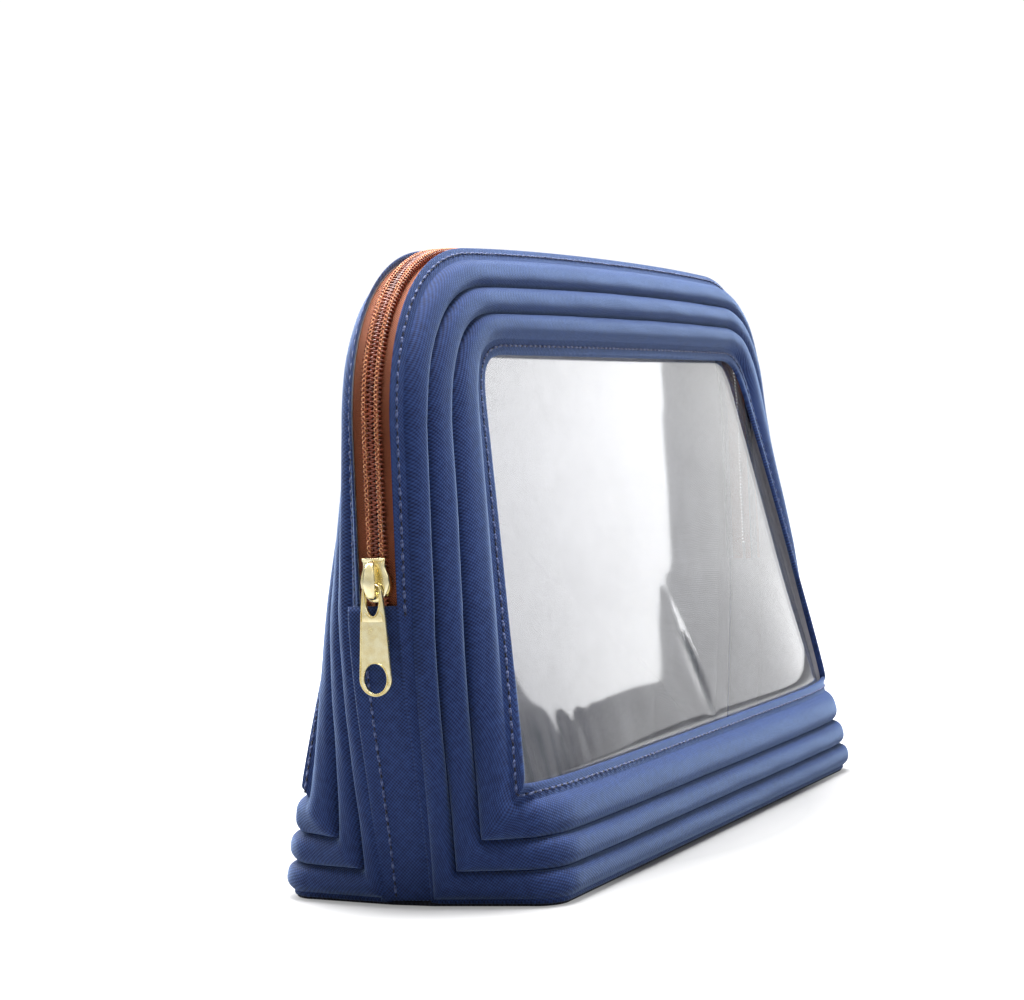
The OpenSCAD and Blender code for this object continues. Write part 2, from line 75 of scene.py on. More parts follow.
COVER_INSET = 0.6
LINING_INSET = 6.0
END_HALF = COVER_HIGH[0] + COVER_INSET  # half length of the base at the end strips
BASE_HALF = END_HALF - 4  # half length of the base at the shells
DEPTH_HALF = COVER_HIGH[1] + COVER_INSET
GAP = 5.5  # from the zip plane to either rim
REACH = 142.5  # half length at the straight part of the zip
TOP = 163.5  # height of the rim's ridge
FLOOR = 1.3  # height of the shells' lower edge
FOLD = 74.0  # height at which the front can fold open
BEND = 8.0  # corner radius of the base
STRAIGHT_LOW, STRAIGHT_HIGH = 74.0, 116.0  # the rim stands upright between these heights
RIM_TURN_X = 95.0  # where the rim's corner runs into its top
WIN_LOW, WIN_HIGH, WIN_SPAN = 29.0, 135.5, 106.0
WIN_X, WIN_Y = BASE_HALF + 2.5, DEPTH_HALF - 7.6  # the window's lower corners
WIN_TAPER, WIN_LEAN = 26.5, 17.4  # how much narrower and how much farther in the window's top is
WIN_TURN_X, WIN_TURN_Z = 88.0, 120.0  # where the window's upper corners end and begin
FOOT_NEAR, FOOT_FAR = 110.0, 124.0  # x on the window's foot beside the ends of the base's corner
TOP_BOW, TOP_BOW_X = 2.0, 103.0
RIB = 2.4  # height of a rib
MARGIN = 1.4  # thickness of the sewn edges
PADDING = 2.4  # thickness under the ribs
LOW_SWELL, SIDE_SWELL = 0.8, 1.7  # how far the sides and the top bulge out of a straight line
FOOT_BOW, FOLD_BOW, PANEL_TOP_BOW, PANE_TOP_BOW = 4.6, 4.5, 2.0, 0.9
FOOT_POWER, FOLD_POWER = 6.0, 2.2  # how squarely a panel's bow runs out to its sides
PANEL_Z = 82.0  # height of the rear panel's middle


# ---------------------------------------------------------------- small helpers
def mix(a, b, t):
    return a * (1 - t) + b * t


def bez(a, b, c, d, t):
    return a * (1 - t) ** 3 + 3 * b * (1 - t) ** 2 * t + 3 * c * (1 - t) * t * t + d * t**3


def unit(v):
    return v / np.maximum(np.linalg.norm(v, axis=-1, keepdims=True), 1e-9)


def circle(n):
    """The angles of n even steps round a circle."""
    return np.arange(n) / n * 2 * np.pi


def squared(wave, power):
    """Sines or cosines whose waves are made fuller."""
    return np.sign(wave) * np.abs(wave) ** power


def mirrored(half, way):
    """Half an outline and its mirror image, without its two ends again."""
    return np.concatenate([half, (half * way)[1:-1][::-1]])


def cols(*parts):
    """Columns of numbers, with single values spread to the longest one."""
    return np.stack(np.broadcast_arrays(*[np.asarray(p, float) for p in parts]), axis=-1)


def arc(points):
    """Length along a line of points, starting at 0."""
    step = np.linalg.norm(np.diff(points, axis=0), axis=1)
    return np.concatenate([[0.0], np.cumsum(step)])


def read_at(where, s, values):
    """Columns of values known at s, read at other places."""
    return np.stack([np.interp(where, s, column) for column in values.T], -1)


def along(line, lengths, values=None):
    """Points of a line, or values known at its points, at some lengths along it."""
    return read_at(lengths, arc(line), line if values is None else values)


# ---------------------------------------------------------------- the two outlines, as in the CAD
_t = np.linspace(0, 1, 200)
_low_z = bez(FLOOR, 28.0, 50.0, STRAIGHT_LOW, _t)
_low_x = bez(END_HALF, END_HALF + 2.5, REACH, REACH, _t)


def low_x(z):
    return np.interp(z, _low_z, _low_x)


def window_rise(z):
    return (np.clip(z, WIN_LOW, 140) - WIN_LOW) / WIN_SPAN


def window_x(z):
    return WIN_X - WIN_TAPER * window_rise(z) ** 1.05


def window_y(z):
    return WIN_Y - WIN_LEAN * window_rise(z) ** 1.12


def top_bow(x):
    return TOP_BOW * (1 - (np.minimum(x, TOP_BOW_X) / TOP_BOW_X) ** 2)


def window_foot(x):
    return cols(x, WIN_Y + FOOT_BOW * (1 - (x / WIN_X) ** 6), WIN_LOW)


def window_side(z):
    return cols(window_x(z), window_y(z), z)


def window_curve(t):
    x = bez(window_x(WIN_TURN_Z), window_x(131.0), window_x(WIN_HIGH) - 2, WIN_TURN_X, t)
    z = bez(WIN_TURN_Z, 131.0, WIN_HIGH - 0.2, WIN_HIGH, t)
    return cols(x, window_y(z) + top_bow(x), z)


def window_top(t):
    x = mix(WIN_TURN_X, 0.0, t)
    return cols(x, window_y(WIN_HIGH) + top_bow(x), WIN_HIGH)


def rim_curve(t):
    return cols(bez(REACH, REACH, REACH - 14.5, RIM_TURN_X, t), GAP,
                bez(STRAIGHT_HIGH, STRAIGHT_HIGH + 24, TOP - 3, TOP - 1.5, t))


def rim_top(t):
    return cols(bez(RIM_TURN_X, 65.0, 30.0, 0.0, t), GAP, bez(TOP - 1.5, TOP - 0.3, TOP, TOP, t))


def rim_low(t):
    z = mix(FLOOR, FOLD, t)
    return cols(low_x(z), GAP, z)


# (samples, rim, window, bulge, share of the side's rib spacing) along half an outline
STRETCHES = [
    (44, lambda t: cols(mix(0.0, BASE_HALF - BEND, t), DEPTH_HALF, FLOOR),
     lambda t: window_foot(FOOT_NEAR * t), 1, 0),
    (10, lambda t: cols(BASE_HALF - BEND + BEND * np.sin(np.pi / 2 * t),
                        DEPTH_HALF - BEND + BEND * np.cos(np.pi / 2 * t), FLOOR),
     lambda t: window_foot(mix(FOOT_NEAR, FOOT_FAR, t)), 1, 0),
    (12, lambda t: cols(mix(BASE_HALF, END_HALF, t), mix(DEPTH_HALF - BEND, GAP, t), FLOOR),
     lambda t: window_foot(mix(FOOT_FAR, WIN_X, t)), 1, 0),
    (44, rim_low, lambda t: window_side(mix(WIN_LOW, FOLD, t)),
     lambda t: mix(LOW_SWELL, SIDE_SWELL, t), lambda t: t),
    (22, lambda t: cols(REACH, GAP, mix(FOLD, STRAIGHT_HIGH, t)),
     lambda t: window_side(mix(FOLD, WIN_TURN_Z, t)), SIDE_SWELL, 1),
    (44, rim_curve, window_curve, SIDE_SWELL, 1),
    (36, rim_top, window_top, SIDE_SWELL, 1),
]
COUNTS = [s[0] for s in STRETCHES]
I_SIDE, I_FOLD, I_CURVE, I_TOP, I_LAST = (sum(COUNTS[:k]) for k in (3, 4, 5, 6, 7))
RING = 2 * I_LAST


def ring_of(k):
    """A whole ring of the k-th property from its half, mirrored in the plane x = 0."""
    parts = []
    for n, stretch in enumerate(STRETCHES):
        last = n == len(STRETCHES) - 1
        t = np.arange(stretch[0] + last) / stretch[0]
        parts.append(stretch[k](t) if callable(stretch[k]) else stretch[k] + 0 * t)
    half = np.concatenate(parts)
    return mirrored(half, 1 if half.ndim == 1 else [-1, 1, 1])


RIM, WINDOW, SWELL, LIFT = (ring_of(k) for k in (1, 2, 3, 4))
FROM_MIDDLE = np.minimum(np.arange(RING), RING - np.arange(RING))
IN_BASE = FROM_MIDDLE < I_SIDE
CREST = np.clip((FROM_MIDDLE - I_CURVE) / (I_TOP - I_CURVE), 0, 1)  # 1 along the top edge

# across the band: rim, first rib, two sewn grooves, end of the last rib, window
Q_KNOTS = np.array([0, 0.114, 0.386, 0.643, 0.886, 1])
PLACE_LOW = np.array([0, 0.02, 0.27, 0.55, 0.89, 1])
PLACE_SIDE = np.array([0, 0.114, 0.3, 0.56, 0.886, 1])


def blur(v):
    """Rounds what changes too sharply from one sample to the next along the ring."""
    for _ in range(3):
        v = (np.roll(v, 1, -2) + 2 * v + np.roll(v, -1, -2)) / 4
    return v


def place(q):
    """The band's own scale from rim to window, for each q and sample: an array (q, ring)."""
    q = np.asarray(q, float)
    low, side = (np.interp(q, Q_KNOTS, knots)[:, None] for knots in (PLACE_LOW, PLACE_SIDE))
    return low * (1 - LIFT) + mix(side, q[:, None], CREST) * LIFT


def chord_normal(q):
    p = place(q)[..., None]
    chord = RIM * (1 - p) + WINDOW * p
    run = np.roll(chord, -1, 1) - np.roll(chord, 1, 1)
    return unit(blur(unit(np.cross(run, (WINDOW - RIM)[None]))))


def normal_at(q):
    """Inwards; at the rim itself it is level along the base and square to the zip plane elsewhere."""
    n = chord_normal(q)
    first = chord_normal(np.zeros(1))[0]
    flat = np.where(IN_BASE[:, None], first * [1, 1, 0], first * [1, 0, 1])
    turn = np.clip(np.asarray(q) / 0.16, 0, 1)[:, None, None]
    return unit(unit(flat)[None] * (1 - turn) + n * turn)


def skin_at(q):
    p = place(q)
    chord = RIM * (1 - p[..., None]) + WINDOW * p[..., None]
    return chord - chord_normal(q) * (SWELL * np.sin(np.pi * p))[..., None]


NIP, NIP_WIDTH = 0.7, 0.011


def hump(q, a, b):
    s = np.clip((q - a) / (b - a), 0, 1)
    return 1 - np.abs(2 * s - 1) ** 3.2


def rib_at(q):
    q = np.asarray(q, float)
    ribs = np.maximum.reduce([hump(q, *Q_KNOTS[k:k + 2]) for k in (1, 2, 3)])
    nip = sum(np.exp(-((q - g) / NIP_WIDTH) ** 2) for g in Q_KNOTS[2:4])  # the seam pulls the cloth in
    return RIB * ribs - NIP * nip


def wall_at(q):
    q = np.asarray(q, float)
    thin = np.maximum(np.clip((Q_KNOTS[1] - q) / 0.034, 0, 1), np.clip((q - 0.87) / 0.02, 0, 1))
    return mix(PADDING, MARGIN, thin)


def uneven(q):
    """Slow, shallow unevenness of pressed cloth over foam."""
    i = circle(RING)[None]
    q = np.asarray(q)[:, None]
    soft = np.sin(np.pi * np.clip(q, 0, 1))
    return 0.1 * soft * (np.sin(7 * i + 9 * q + 1) + 0.5 * np.sin(17 * i - 13 * q + 2.3)
                         + 0.5 * np.sin(31 * i + 21 * q + 0.6))


def outside(q):
    """The cloth's outer surface, ribs and all."""
    return skin_at(q) - normal_at(q) * (rib_at(q)[:, None] + uneven(q))[..., None]


# ---------------------------------------------------------------- meshes
def add_mesh(name, points, faces, materials, uv=None, face_material=None, other_uv=None, other_faces=None):
    """A mesh object from points in mm, with uv in mm for each point; other_faces take other_uv instead."""
    mesh = bpy.data.meshes.new(name)
    mesh.from_pydata((np.asarray(points) * MM).tolist(), [], [list(map(int, f)) for f in faces])
    for m in materials:
        mesh.materials.append(m)
    if face_material is not None:
        mesh.polygons.foreach_set("material_index", np.asarray(face_material, np.int32))
    mesh.polygons.foreach_set("use_smooth", np.ones(len(mesh.polygons), bool))
    if uv is not None:
        loops = np.zeros(len(mesh.loops), np.int32)
        mesh.loops.foreach_get("vertex_index", loops)
        layer = mesh.uv_layers.new(name="cloth")
        corner_uv = np.asarray(uv, np.float32)[loops]
        if other_uv is not None:
            sizes = np.zeros(len(mesh.polygons), np.int32)
            mesh.polygons.foreach_get("loop_total", sizes)
            chosen = np.repeat(other_faces, sizes)
            corner_uv[chosen] = np.asarray(other_uv, np.float32)[loops][chosen]
        layer.data.foreach_set("uv", corner_uv.ravel())
    mesh.update()
    mesh.validate()
    obj = bpy.data.objects.new(name, mesh)
    bpy.context.scene.collection.objects.link(obj)
    return obj


def grid_faces(rows, n, close_rows=False, close_cols=False):
    """Quads of a grid of points, rows by n; a row's points run fastest."""
    r = np.arange(rows if close_rows else rows - 1)
    c = np.arange(n if close_cols else n - 1)
    r, c = np.meshgrid(r, c, indexing="ij")
    r2, c2 = (r + 1) % rows, (c + 1) % n
    return np.stack([r * n + c, r * n + c2, r2 * n + c2, r2 * n + c], -1).reshape(-1, 4)


def tube(name, rows, materials, uv=None, flip=False):
    """A closed solid of rows of closed sections, capped at both ends: rows is (rows, n, 3)."""
    count, n = rows.shape[:2]
    faces = list(grid_faces(count, n, close_cols=True))
    faces += [range(n)[::-1], range((count - 1) * n, count * n)]
    if flip:
        faces = [f[::-1] for f in faces]
    return add_mesh(name, rows.reshape(-1, 3), faces, materials,
                    None if uv is None else uv.reshape(-1, 2))


def fans(n, first, first_tip, second, second_tip):
    """Triangles from two rings of n points, one to each tip, facing opposite ways."""
    out = []
    for k in range(n):
        k2 = (k + 1) % n
        out += [(first + k, first + k2, first_tip), (second + k2, second + k, second_tip)]
    return out


def repeat(points, faces, frames, origins):
    """Copies of a small shape, each turned by its 3 x 3 frame and moved to its origin."""
    all_points = np.einsum("pk,nkj->npj", points, frames) + origins[:, None]
    shift = np.arange(len(origins))[:, None, None] * len(points)
    return all_points.reshape(-1, 3), (faces[None] + shift).reshape(-1, faces.shape[1])


def to_front(p):
    return p * [1, -1, 1]


# ---------------------------------------------------------------- materials
class Paint:
    """The nodes of a material or a world, with short calls for the nodes used here."""

    def __init__(self, owner, output="OutputMaterial"):
        self.owner = owner
        owner.use_nodes = True
        self.tree = owner.node_tree
        self.tree.nodes.clear()
        self.out = self.add(output)

    def add(self, kind, inputs=None, **props):
        node = self.tree.nodes.new("ShaderNode" + kind)
        for key, value in props.items():
            setattr(node, key, value)
        for key, value in (inputs or {}).items():
            if isinstance(value, bpy.types.NodeSocket):
                self.tree.links.new(value, node.inputs[key])
            else:
                node.inputs[key].default_value = value
        return node

    def calc(self, operation, a, b=0.0, clamp=False):
        return self.add("Math", {0: a, 1: b}, operation=operation, use_clamp=clamp).outputs[0]

    def plus(self, a, b, clamp=False):
        return self.calc("ADD", a, b, clamp)

    def times(self, a, b):
        return self.calc("MULTIPLY", a, b)

    def sine(self, value, turn):
        return self.calc("SINE", self.times(value, turn))

    def off(self, value, middle):
        """Distance from a middle value."""
        return self.calc("ABSOLUTE", self.calc("SUBTRACT", value, middle))

    def stretched(self, where, *scale):
        return self.add("Mapping", {"Vector": where, "Scale": scale}).outputs[0]

    def uv(self):
        node = self.add("UVMap", uv_map="cloth")
        split = self.add("SeparateXYZ", {0: node.outputs[0]})
        return split.outputs[0], split.outputs[1], node.outputs[0]

    def place(self):
        return self.add("TexCoord").outputs["Object"]

    def noise(self, where, scale, detail=3.0, rough=0.55):
        return self.add("TexNoise", {"Vector": where, "Scale": scale, "Detail": detail,
                                     "Roughness": rough}).outputs[0]

    def fit(self, value, low, high, to_low=0.0, to_high=1.0):
        return self.add("MapRange", {0: value, 1: low, 2: high, 3: to_low, 4: to_high}).outputs[0]

    def blend(self, share, a, b):
        return self.add("Mix", {0: share, 6: a, 7: b}, data_type="RGBA").outputs[2]

    def bump(self, height, distance):
        return self.add("Bump", {"Height": height, "Distance": distance, "Strength": 1.0}).outputs[0]

    def finish(self, shader):
        self.tree.links.new(shader, self.out.inputs["Surface"])
        return self.owner

    def solid(self, inputs):
        return self.finish(self.add("BsdfPrincipled", inputs).outputs[0])


def paint(name):
    return Paint(bpy.data.materials.new(name))


def rgb(r, g, b):
    """A colour given in display values 0 to 255, as the linear colour that the shader needs."""
    def line(v):
        v /= 255
        return v / 12.92 if v <= 0.04045 else ((v + 0.055) / 1.055) ** 2.4
    return (line(r), line(g), line(b), 1.0)


def woven(name, dark, light, pitch, bump=0.06, sheen=0.3, sheen_tint=(0.7, 0.78, 1.0, 1.0), ridge=0.0):
    """A plain weave: raised crossings of one thread system stand out as light dots between dark ones."""
    p = paint(name)
    u, v, where = p.uv()
    place_ = p.place()
    drift = p.fit(p.noise(place_, 55.0, 2.0), 0.3, 0.7, -0.16, 0.16)
    cross = p.times(*(p.sine(p.plus(way, drift), math.pi / pitch) for way in (u, v)))
    fibre = p.noise(where, 9.0, 2.0)
    slub = p.noise(where, 0.55, 2.0)
    share = p.plus(p.fit(cross, -0.8, 0.9, 0.0, 0.85), p.fit(slub, 0.35, 0.65, -0.1, 0.14), clamp=True)
    worn = p.fit(p.noise(place_, 22.0, 4.0), 0.45, 0.8, 0.0, 0.22)
    height = p.plus(p.times(cross, 0.5), p.times(p.calc("ABSOLUTE", cross), 0.5))
    height = p.plus(height, p.times(fibre, 0.35))
    if ridge:
        height = p.plus(height, p.times(slub, ridge))
    return p.solid({
        "Base Color": p.blend(worn, p.blend(share, dark, light), light),
        "Roughness": p.fit(fibre, 0.3, 0.7, 0.74, 0.88), "Specular IOR Level": 0.3,
        "Sheen Weight": sheen, "Sheen Roughness": 0.4, "Sheen Tint": sheen_tint,
        "Normal": p.bump(height, bump * MM)})


def herringbone(name, dark, light):
    """Zip tape: narrow diagonal ribs that change direction every few threads."""
    p = paint(name)
    u, v, where = p.uv()
    line = p.sine(p.plus(u, p.calc("PINGPONG", v, 1.1)), 2 * math.pi / 0.62)
    fuzz = p.noise(where, 7.0, 3.0)
    share = p.plus(p.fit(line, -0.8, 0.9, 0.0, 0.85), p.fit(fuzz, 0.3, 0.7, -0.2, 0.3), clamp=True)
    height = p.plus(line, p.times(p.sine(v, 2 * math.pi / 0.3), 0.4))
    return p.solid({
        "Base Color": p.blend(share, dark, light), "Roughness": 0.72, "Specular IOR Level": 0.35,
        "Sheen Weight": 0.2, "Sheen Tint": (1.0, 0.8, 0.7, 1.0), "Normal": p.bump(height, 0.05 * MM)})


def thread(name, dark, light, rough=0.6):
    """Twisted yarn: fine slanted plies and a little fuzz, placed by the object's own space."""
    p = paint(name)
    where = p.place()
    ply = p.add("TexWave", {"Vector": where, "Scale": 450.0, "Distortion": 2.5, "Detail": 2.0},
                bands_direction="DIAGONAL").outputs["Fac"]
    fuzz = p.noise(where, 2500.0, 2.0)
    return p.solid({
        "Base Color": p.blend(p.times(ply, p.fit(fuzz, 0.2, 0.8, 0.5, 1.2)), dark, light),
        "Roughness": rough, "Sheen Weight": 0.25, "Specular IOR Level": 0.4,
        "Normal": p.bump(ply, 0.05 * MM)})


def nylon(name, dark, light):
    """Coil monofilament: smooth, slightly see-through plastic with die lines and tone changes."""
    p = paint(name)
    where = p.place()
    lines = p.noise(where, 1400.0, 2.0)
    return p.solid({
        "Base Color": p.blend(p.fit(p.noise(where, 160.0, 3.0), 0.3, 0.7), dark, light),
        "Roughness": p.fit(lines, 0.3, 0.7, 0.24, 0.42), "Specular IOR Level": 0.5,
        "Coat Weight": 0.25, "Coat Roughness": 0.2, "Normal": p.bump(lines, 0.015 * MM)})


def brass(name, dark, light):
    """Pale plated brass: bright, with fine brushing, soft dents and duller spots."""
    p = paint(name)
    where = p.place()
    brush = p.noise(p.stretched(where, 1.0, 9.0, 1.0), 900.0, 3.0)
    spots = p.noise(where, 420.0, 4.0)
    dents = p.noise(where, 230.0, 2.0)
    return p.solid({
        "Base Color": p.blend(p.fit(spots, 0.35, 0.7), light, dark), "Metallic": 1.0,
        "Roughness": p.fit(spots, 0.35, 0.75, 0.2, 0.3),
        "Normal": p.bump(p.plus(p.times(brush, 0.1), p.times(dents, 0.22)), 0.03 * MM)})


def vinyl(name):
    """Clear soft film: sharp reflections on a slightly wavy, faintly hazy sheet."""
    p = paint(name)
    where = p.place()
    wave = p.noise(p.stretched(where, 1.0, 1.0, 0.35), 34.0, 1.0, 0.4)
    normal = p.bump(p.plus(wave, p.times(p.noise(where, 260.0, 2.0), 0.002)), 0.05 * MM)
    facing = p.add("LayerWeight", {"Blend": 0.5, "Normal": normal}).outputs["Facing"]
    # Schlick's rule, the same for both faces of the film
    shine = p.plus(p.times(p.calc("POWER", facing, 5.0), 0.96), 0.04)
    gloss = p.add("BsdfGlossy", {"Color": (1, 1, 1, 1), "Roughness": 0.035, "Normal": normal}).outputs[0]
    clear = p.add("BsdfTransparent", {"Color": (0.95, 0.955, 0.965, 1)}).outputs[0]
    haze = p.add("BsdfDiffuse", {"Color": (0.8, 0.82, 0.86, 1)}).outputs[0]
    dust = p.fit(p.noise(where, 70.0, 4.0), 0.35, 0.75, 0.02, 0.07)
    film = p.add("MixShader", {0: dust, 1: clear, 2: haze}).outputs[0]
    # where the film is folded or puckered it bends the light away; that shade is painted: a dark diffuse
    # colour is mixed in along a slanted fold line and in streaks low down at the left
    x, _, z = (p.add("SeparateXYZ", {0: where}).outputs[k] for k in range(3))
    slant = p.plus(x, p.times(p.calc("SUBTRACT", z, 46 * MM), 0.5))
    ragged = p.times(p.calc("SUBTRACT", p.noise(where, 150.0, 3.0), 0.5), 7 * MM)
    line = p.times(p.fit(p.calc("ABSOLUTE", p.plus(slant, ragged)), 0.5 * MM, 3.4 * MM, 1.0, 0.0),
                   p.fit(p.off(z, 45 * MM), 10 * MM, 18 * MM, 1, 0))
    # painted shade: dark streaks in the film's lower left corner
    painted_streak_shade = p.fit(p.noise(p.stretched(where, 1.0, 0.0, 0.12), 260.0, 3.0), 0.42, 0.6)
    corner = p.times(p.fit(x, -92 * MM, -108 * MM, 0, 1), p.fit(z, 47 * MM, 40 * MM, 0, 1))
    dark = p.calc("MAXIMUM", p.times(line, 0.36), p.times(p.times(painted_streak_shade, corner), 0.26))
    # painted shade: the dark diffuse colour of the fold line and the streaks
    fold = p.add("BsdfDiffuse", {"Color": (0.03, 0.045, 0.06, 1)}).outputs[0]
    film = p.add("MixShader", {0: dark, 1: film, 2: fold}).outputs[0]
    return p.finish(p.add("MixShader", {0: shine, 1: film, 2: gloss}).outputs[0])


def board(name, dark, light):
    """Grey fibre board."""
    p = paint(name)
    fibres = p.noise(p.stretched(p.place(), 1.0, 6.0, 1.0), 300.0, 4.0)
    return p.solid({"Base Color": p.blend(fibres, dark, light), "Roughness": 0.9,
                    "Normal": p.bump(fibres, 0.1 * MM)})


def pale_floor(name):
    """Pale floor, washed out to white all round except for the case's shadow."""
    p = paint(name)
    colour = p.blend(p.fit(p.noise(p.place(), 3.0, 2.0), 0.3, 0.7), (0.33, 0.33, 0.333, 1),
                     (0.36, 0.36, 0.363, 1))
    near = p.stretched(p.place(), 1 / SHADE_REACH[0], 1 / SHADE_REACH[1], 0)
    far = p.add("VectorMath", {0: near}, operation="LENGTH").outputs["Value"]
    away = p.fit(far, 0.5, 1.2, 0.0, FLOOR_LIFT)
    return p.solid({"Base Color": colour, "Roughness": 0.65, "Specular IOR Level": 0.1,
                    "Emission Color": (1, 1, 1, 1),
                    "Emission Strength": p.times(p.add("LightPath").outputs["Is Camera Ray"], away)})


FLOOR_LIFT = 0.95
SHADE_REACH = (0.19, 0.11)  # metres along and across the case

NAVY = woven("navy_cloth", rgb(9, 20, 58), rgb(46, 72, 132), 0.47, sheen=0.5,
             sheen_tint=(0.48, 0.67, 1.0, 1.0))
LINING = woven("grey_lining_cloth", rgb(158, 157, 162), rgb(204, 203, 207), 0.35, bump=0.03, sheen=0.15,
               sheen_tint=(1, 1, 1, 1))
BASE_CLOTH = woven("base_cloth", rgb(18, 20, 30), rgb(48, 52, 68), 0.6, bump=0.09, sheen=0.1)
BINDING = woven("binding_cloth", rgb(20, 24, 46), rgb(52, 60, 92), 0.4, ridge=0.3)
TAPE = herringbone("zip_tape_cloth", rgb(88, 38, 20), rgb(186, 104, 62))
COIL = nylon("coil_nylon", rgb(92, 36, 16), rgb(150, 66, 32))
COIL_THREAD = thread("coil_thread", rgb(168, 82, 42), rgb(246, 176, 124))
NAVY_THREAD = thread("navy_thread", rgb(34, 46, 92), rgb(92, 110, 160))
# painted shade: the dark colour of the rounds at the needle holes, standing in for the shade in their dimples
NEEDLE_HOLE_SHADE = thread("needle_shadow", rgb(8, 10, 22), rgb(22, 28, 52), rough=0.95)
BRASS = brass("plated_brass", rgb(224, 208, 154), rgb(246, 236, 196))
VINYL = vinyl("clear_film")
BOARD = board("grey_board", rgb(110, 98, 80), rgb(160, 146, 122))

# ---------------------------------------------------------------- camera
CAM_PLACE = Vector((-713.9, -279.5, 114.4)) * MM
CAM_YAW, CAM_PITCH, CAM_ROLL = (math.radians(a) for a in (23.07, 1.43, -2.47))
PICTURE_WIDTH = 1024
CAM_FOCAL = 2650.8  # in pixels of the picture


def make_camera():
    look = Vector((math.cos(CAM_YAW) * math.cos(CAM_PITCH), math.sin(CAM_YAW) * math.cos(CAM_PITCH),
                   -math.sin(CAM_PITCH)))
    right = Vector((math.sin(CAM_YAW), -math.cos(CAM_YAW), 0))
    up = right.cross(look)
    right, up = (right * math.cos(CAM_ROLL) + up * math.sin(CAM_ROLL),
                 up * math.cos(CAM_ROLL) - right * math.sin(CAM_ROLL))
    data = bpy.data.cameras.new("camera")
    data.sensor_width = 36
    data.lens = CAM_FOCAL / PICTURE_WIDTH * data.sensor_width
    data.clip_start, data.clip_end = 0.05, 30
    camera = bpy.data.objects.new("camera", data)
    bpy.context.scene.collection.objects.link(camera)
    turn = Matrix((right, up, -look)).transposed().to_4x4()
    camera.matrix_world = Matrix.Translation(CAM_PLACE) @ turn
    bpy.context.scene.camera = camera


make_camera()


def bend_with_flap(obj):
    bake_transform(obj)


def groove_steps():
    """Places across the band, closer together near the sewn grooves."""
    out = []
    for a, b, n in zip(Q_KNOTS[:-1], Q_KNOTS[1:], (7, 17, 17, 17, 7)):
        t = np.arange(n) / n
        out.append(a + (b - a) * mix(t, 0.5 - 0.5 * np.cos(np.pi * t), 0.75))
    return np.concatenate(out + [np.array([1.0])])


Q_OUT = groove_steps()
Q_IN = np.array([1, 0.95, 0.89, 0.8, 0.7, 0.6, 0.5, 0.4, 0.3, 0.2, 0.13, 0.08, 0.04, 0])


def unrolled():
    """The window edge and the direction across the band, laid flat with as little stretch as can be."""
    fine = np.linspace(0, 1, 80)
    step = np.linalg.norm(np.diff(skin_at(fine), axis=0), axis=2)
    down = np.concatenate([np.cumsum(step[::-1], axis=0)[::-1], np.zeros((1, RING))])
    width = down[0, :I_LAST + 1]
    by_window = np.linalg.norm(np.diff(WINDOW[:I_LAST + 1], axis=0), axis=1)
    by_rim = np.linalg.norm(np.diff(RIM[:I_LAST + 1], axis=0), axis=1)
    turn = (by_rim - by_window) / (width[1:] + width[:-1]) * 2
    turn[I_CURVE:I_TOP] += (np.pi - turn.sum()) / (I_TOP - I_CURVE)
    angle = -np.pi / 2 + np.concatenate([[0], np.cumsum(turn)])
    middle = (angle[1:] + angle[:-1]) / 2
    edge = np.cumsum(by_window[:, None] * np.stack([-np.sin(middle), np.cos(middle)], -1), axis=0)
    edge = np.concatenate([[[0.0, 0.0]], edge]) + [0, WIN_LOW]
    ramp = np.clip((np.arange(I_LAST + 1) - I_CURVE) / (I_LAST - I_CURVE), 0, 1)
    edge[:, 0] -= edge[-1, 0] * ramp
    way = np.stack([np.cos(angle), np.sin(angle)], -1)
    return fine, down, mirrored(edge, [-1, 1]), mirrored(way, [-1, 1])


FLAT_Q, FLAT_DOWN, FLAT_EDGE, FLAT_WAY = unrolled()


def cloth_uv(q):
    """Flat cloth coordinates in mm for each q and ring sample."""
    return FLAT_EDGE[None] + FLAT_WAY[None] * read_at(q, FLAT_Q, FLAT_DOWN)[..., None]


EDGE_STEPS = 4


def rolled(outer, inner, way, size):
    """Rows of a half-round edge from the outer point to the inner one; way points out of the cloth."""
    out = []
    for a in np.pi * np.arange(1, EDGE_STEPS) / EDGE_STEPS:
        middle, arm = (outer + inner) / 2, (outer - inner) / 2
        out.append(middle + arm * np.cos(a) + way * size * np.sin(a))
    return np.stack(out)


def band_rows():
    """Outer rows from rim to window, both rolled edges and the inner rows, with their uv."""
    outer = outside(Q_OUT)
    inner = skin_at(Q_IN) + normal_at(Q_IN) * wall_at(Q_IN)[:, None, None]
    uv_out, uv_in = cloth_uv(Q_OUT), cloth_uv(Q_IN)
    to_window = unit(outer[-1] - outer[-3])
    to_rim = unit(outer[0] - outer[2])
    to_rim = np.where(IN_BASE[:, None], np.array([0.0, 0.0, -1.0]), to_rim)
    window_edge = rolled(outer[-1], inner[0], to_window, MARGIN / 2)
    rim_edge = rolled(inner[-1], outer[0], to_rim, MARGIN / 2)
    return outer, inner, window_edge, rim_edge, uv_out, uv_in


OUTER, INNER, WINDOW_EDGE, RIM_EDGE, UV_OUT, UV_IN = band_rows()


def edge_uv(first, second):
    t = (np.arange(1, EDGE_STEPS) / EDGE_STEPS)[:, None, None]
    return first[None] * (1 - t) + second[None] * t


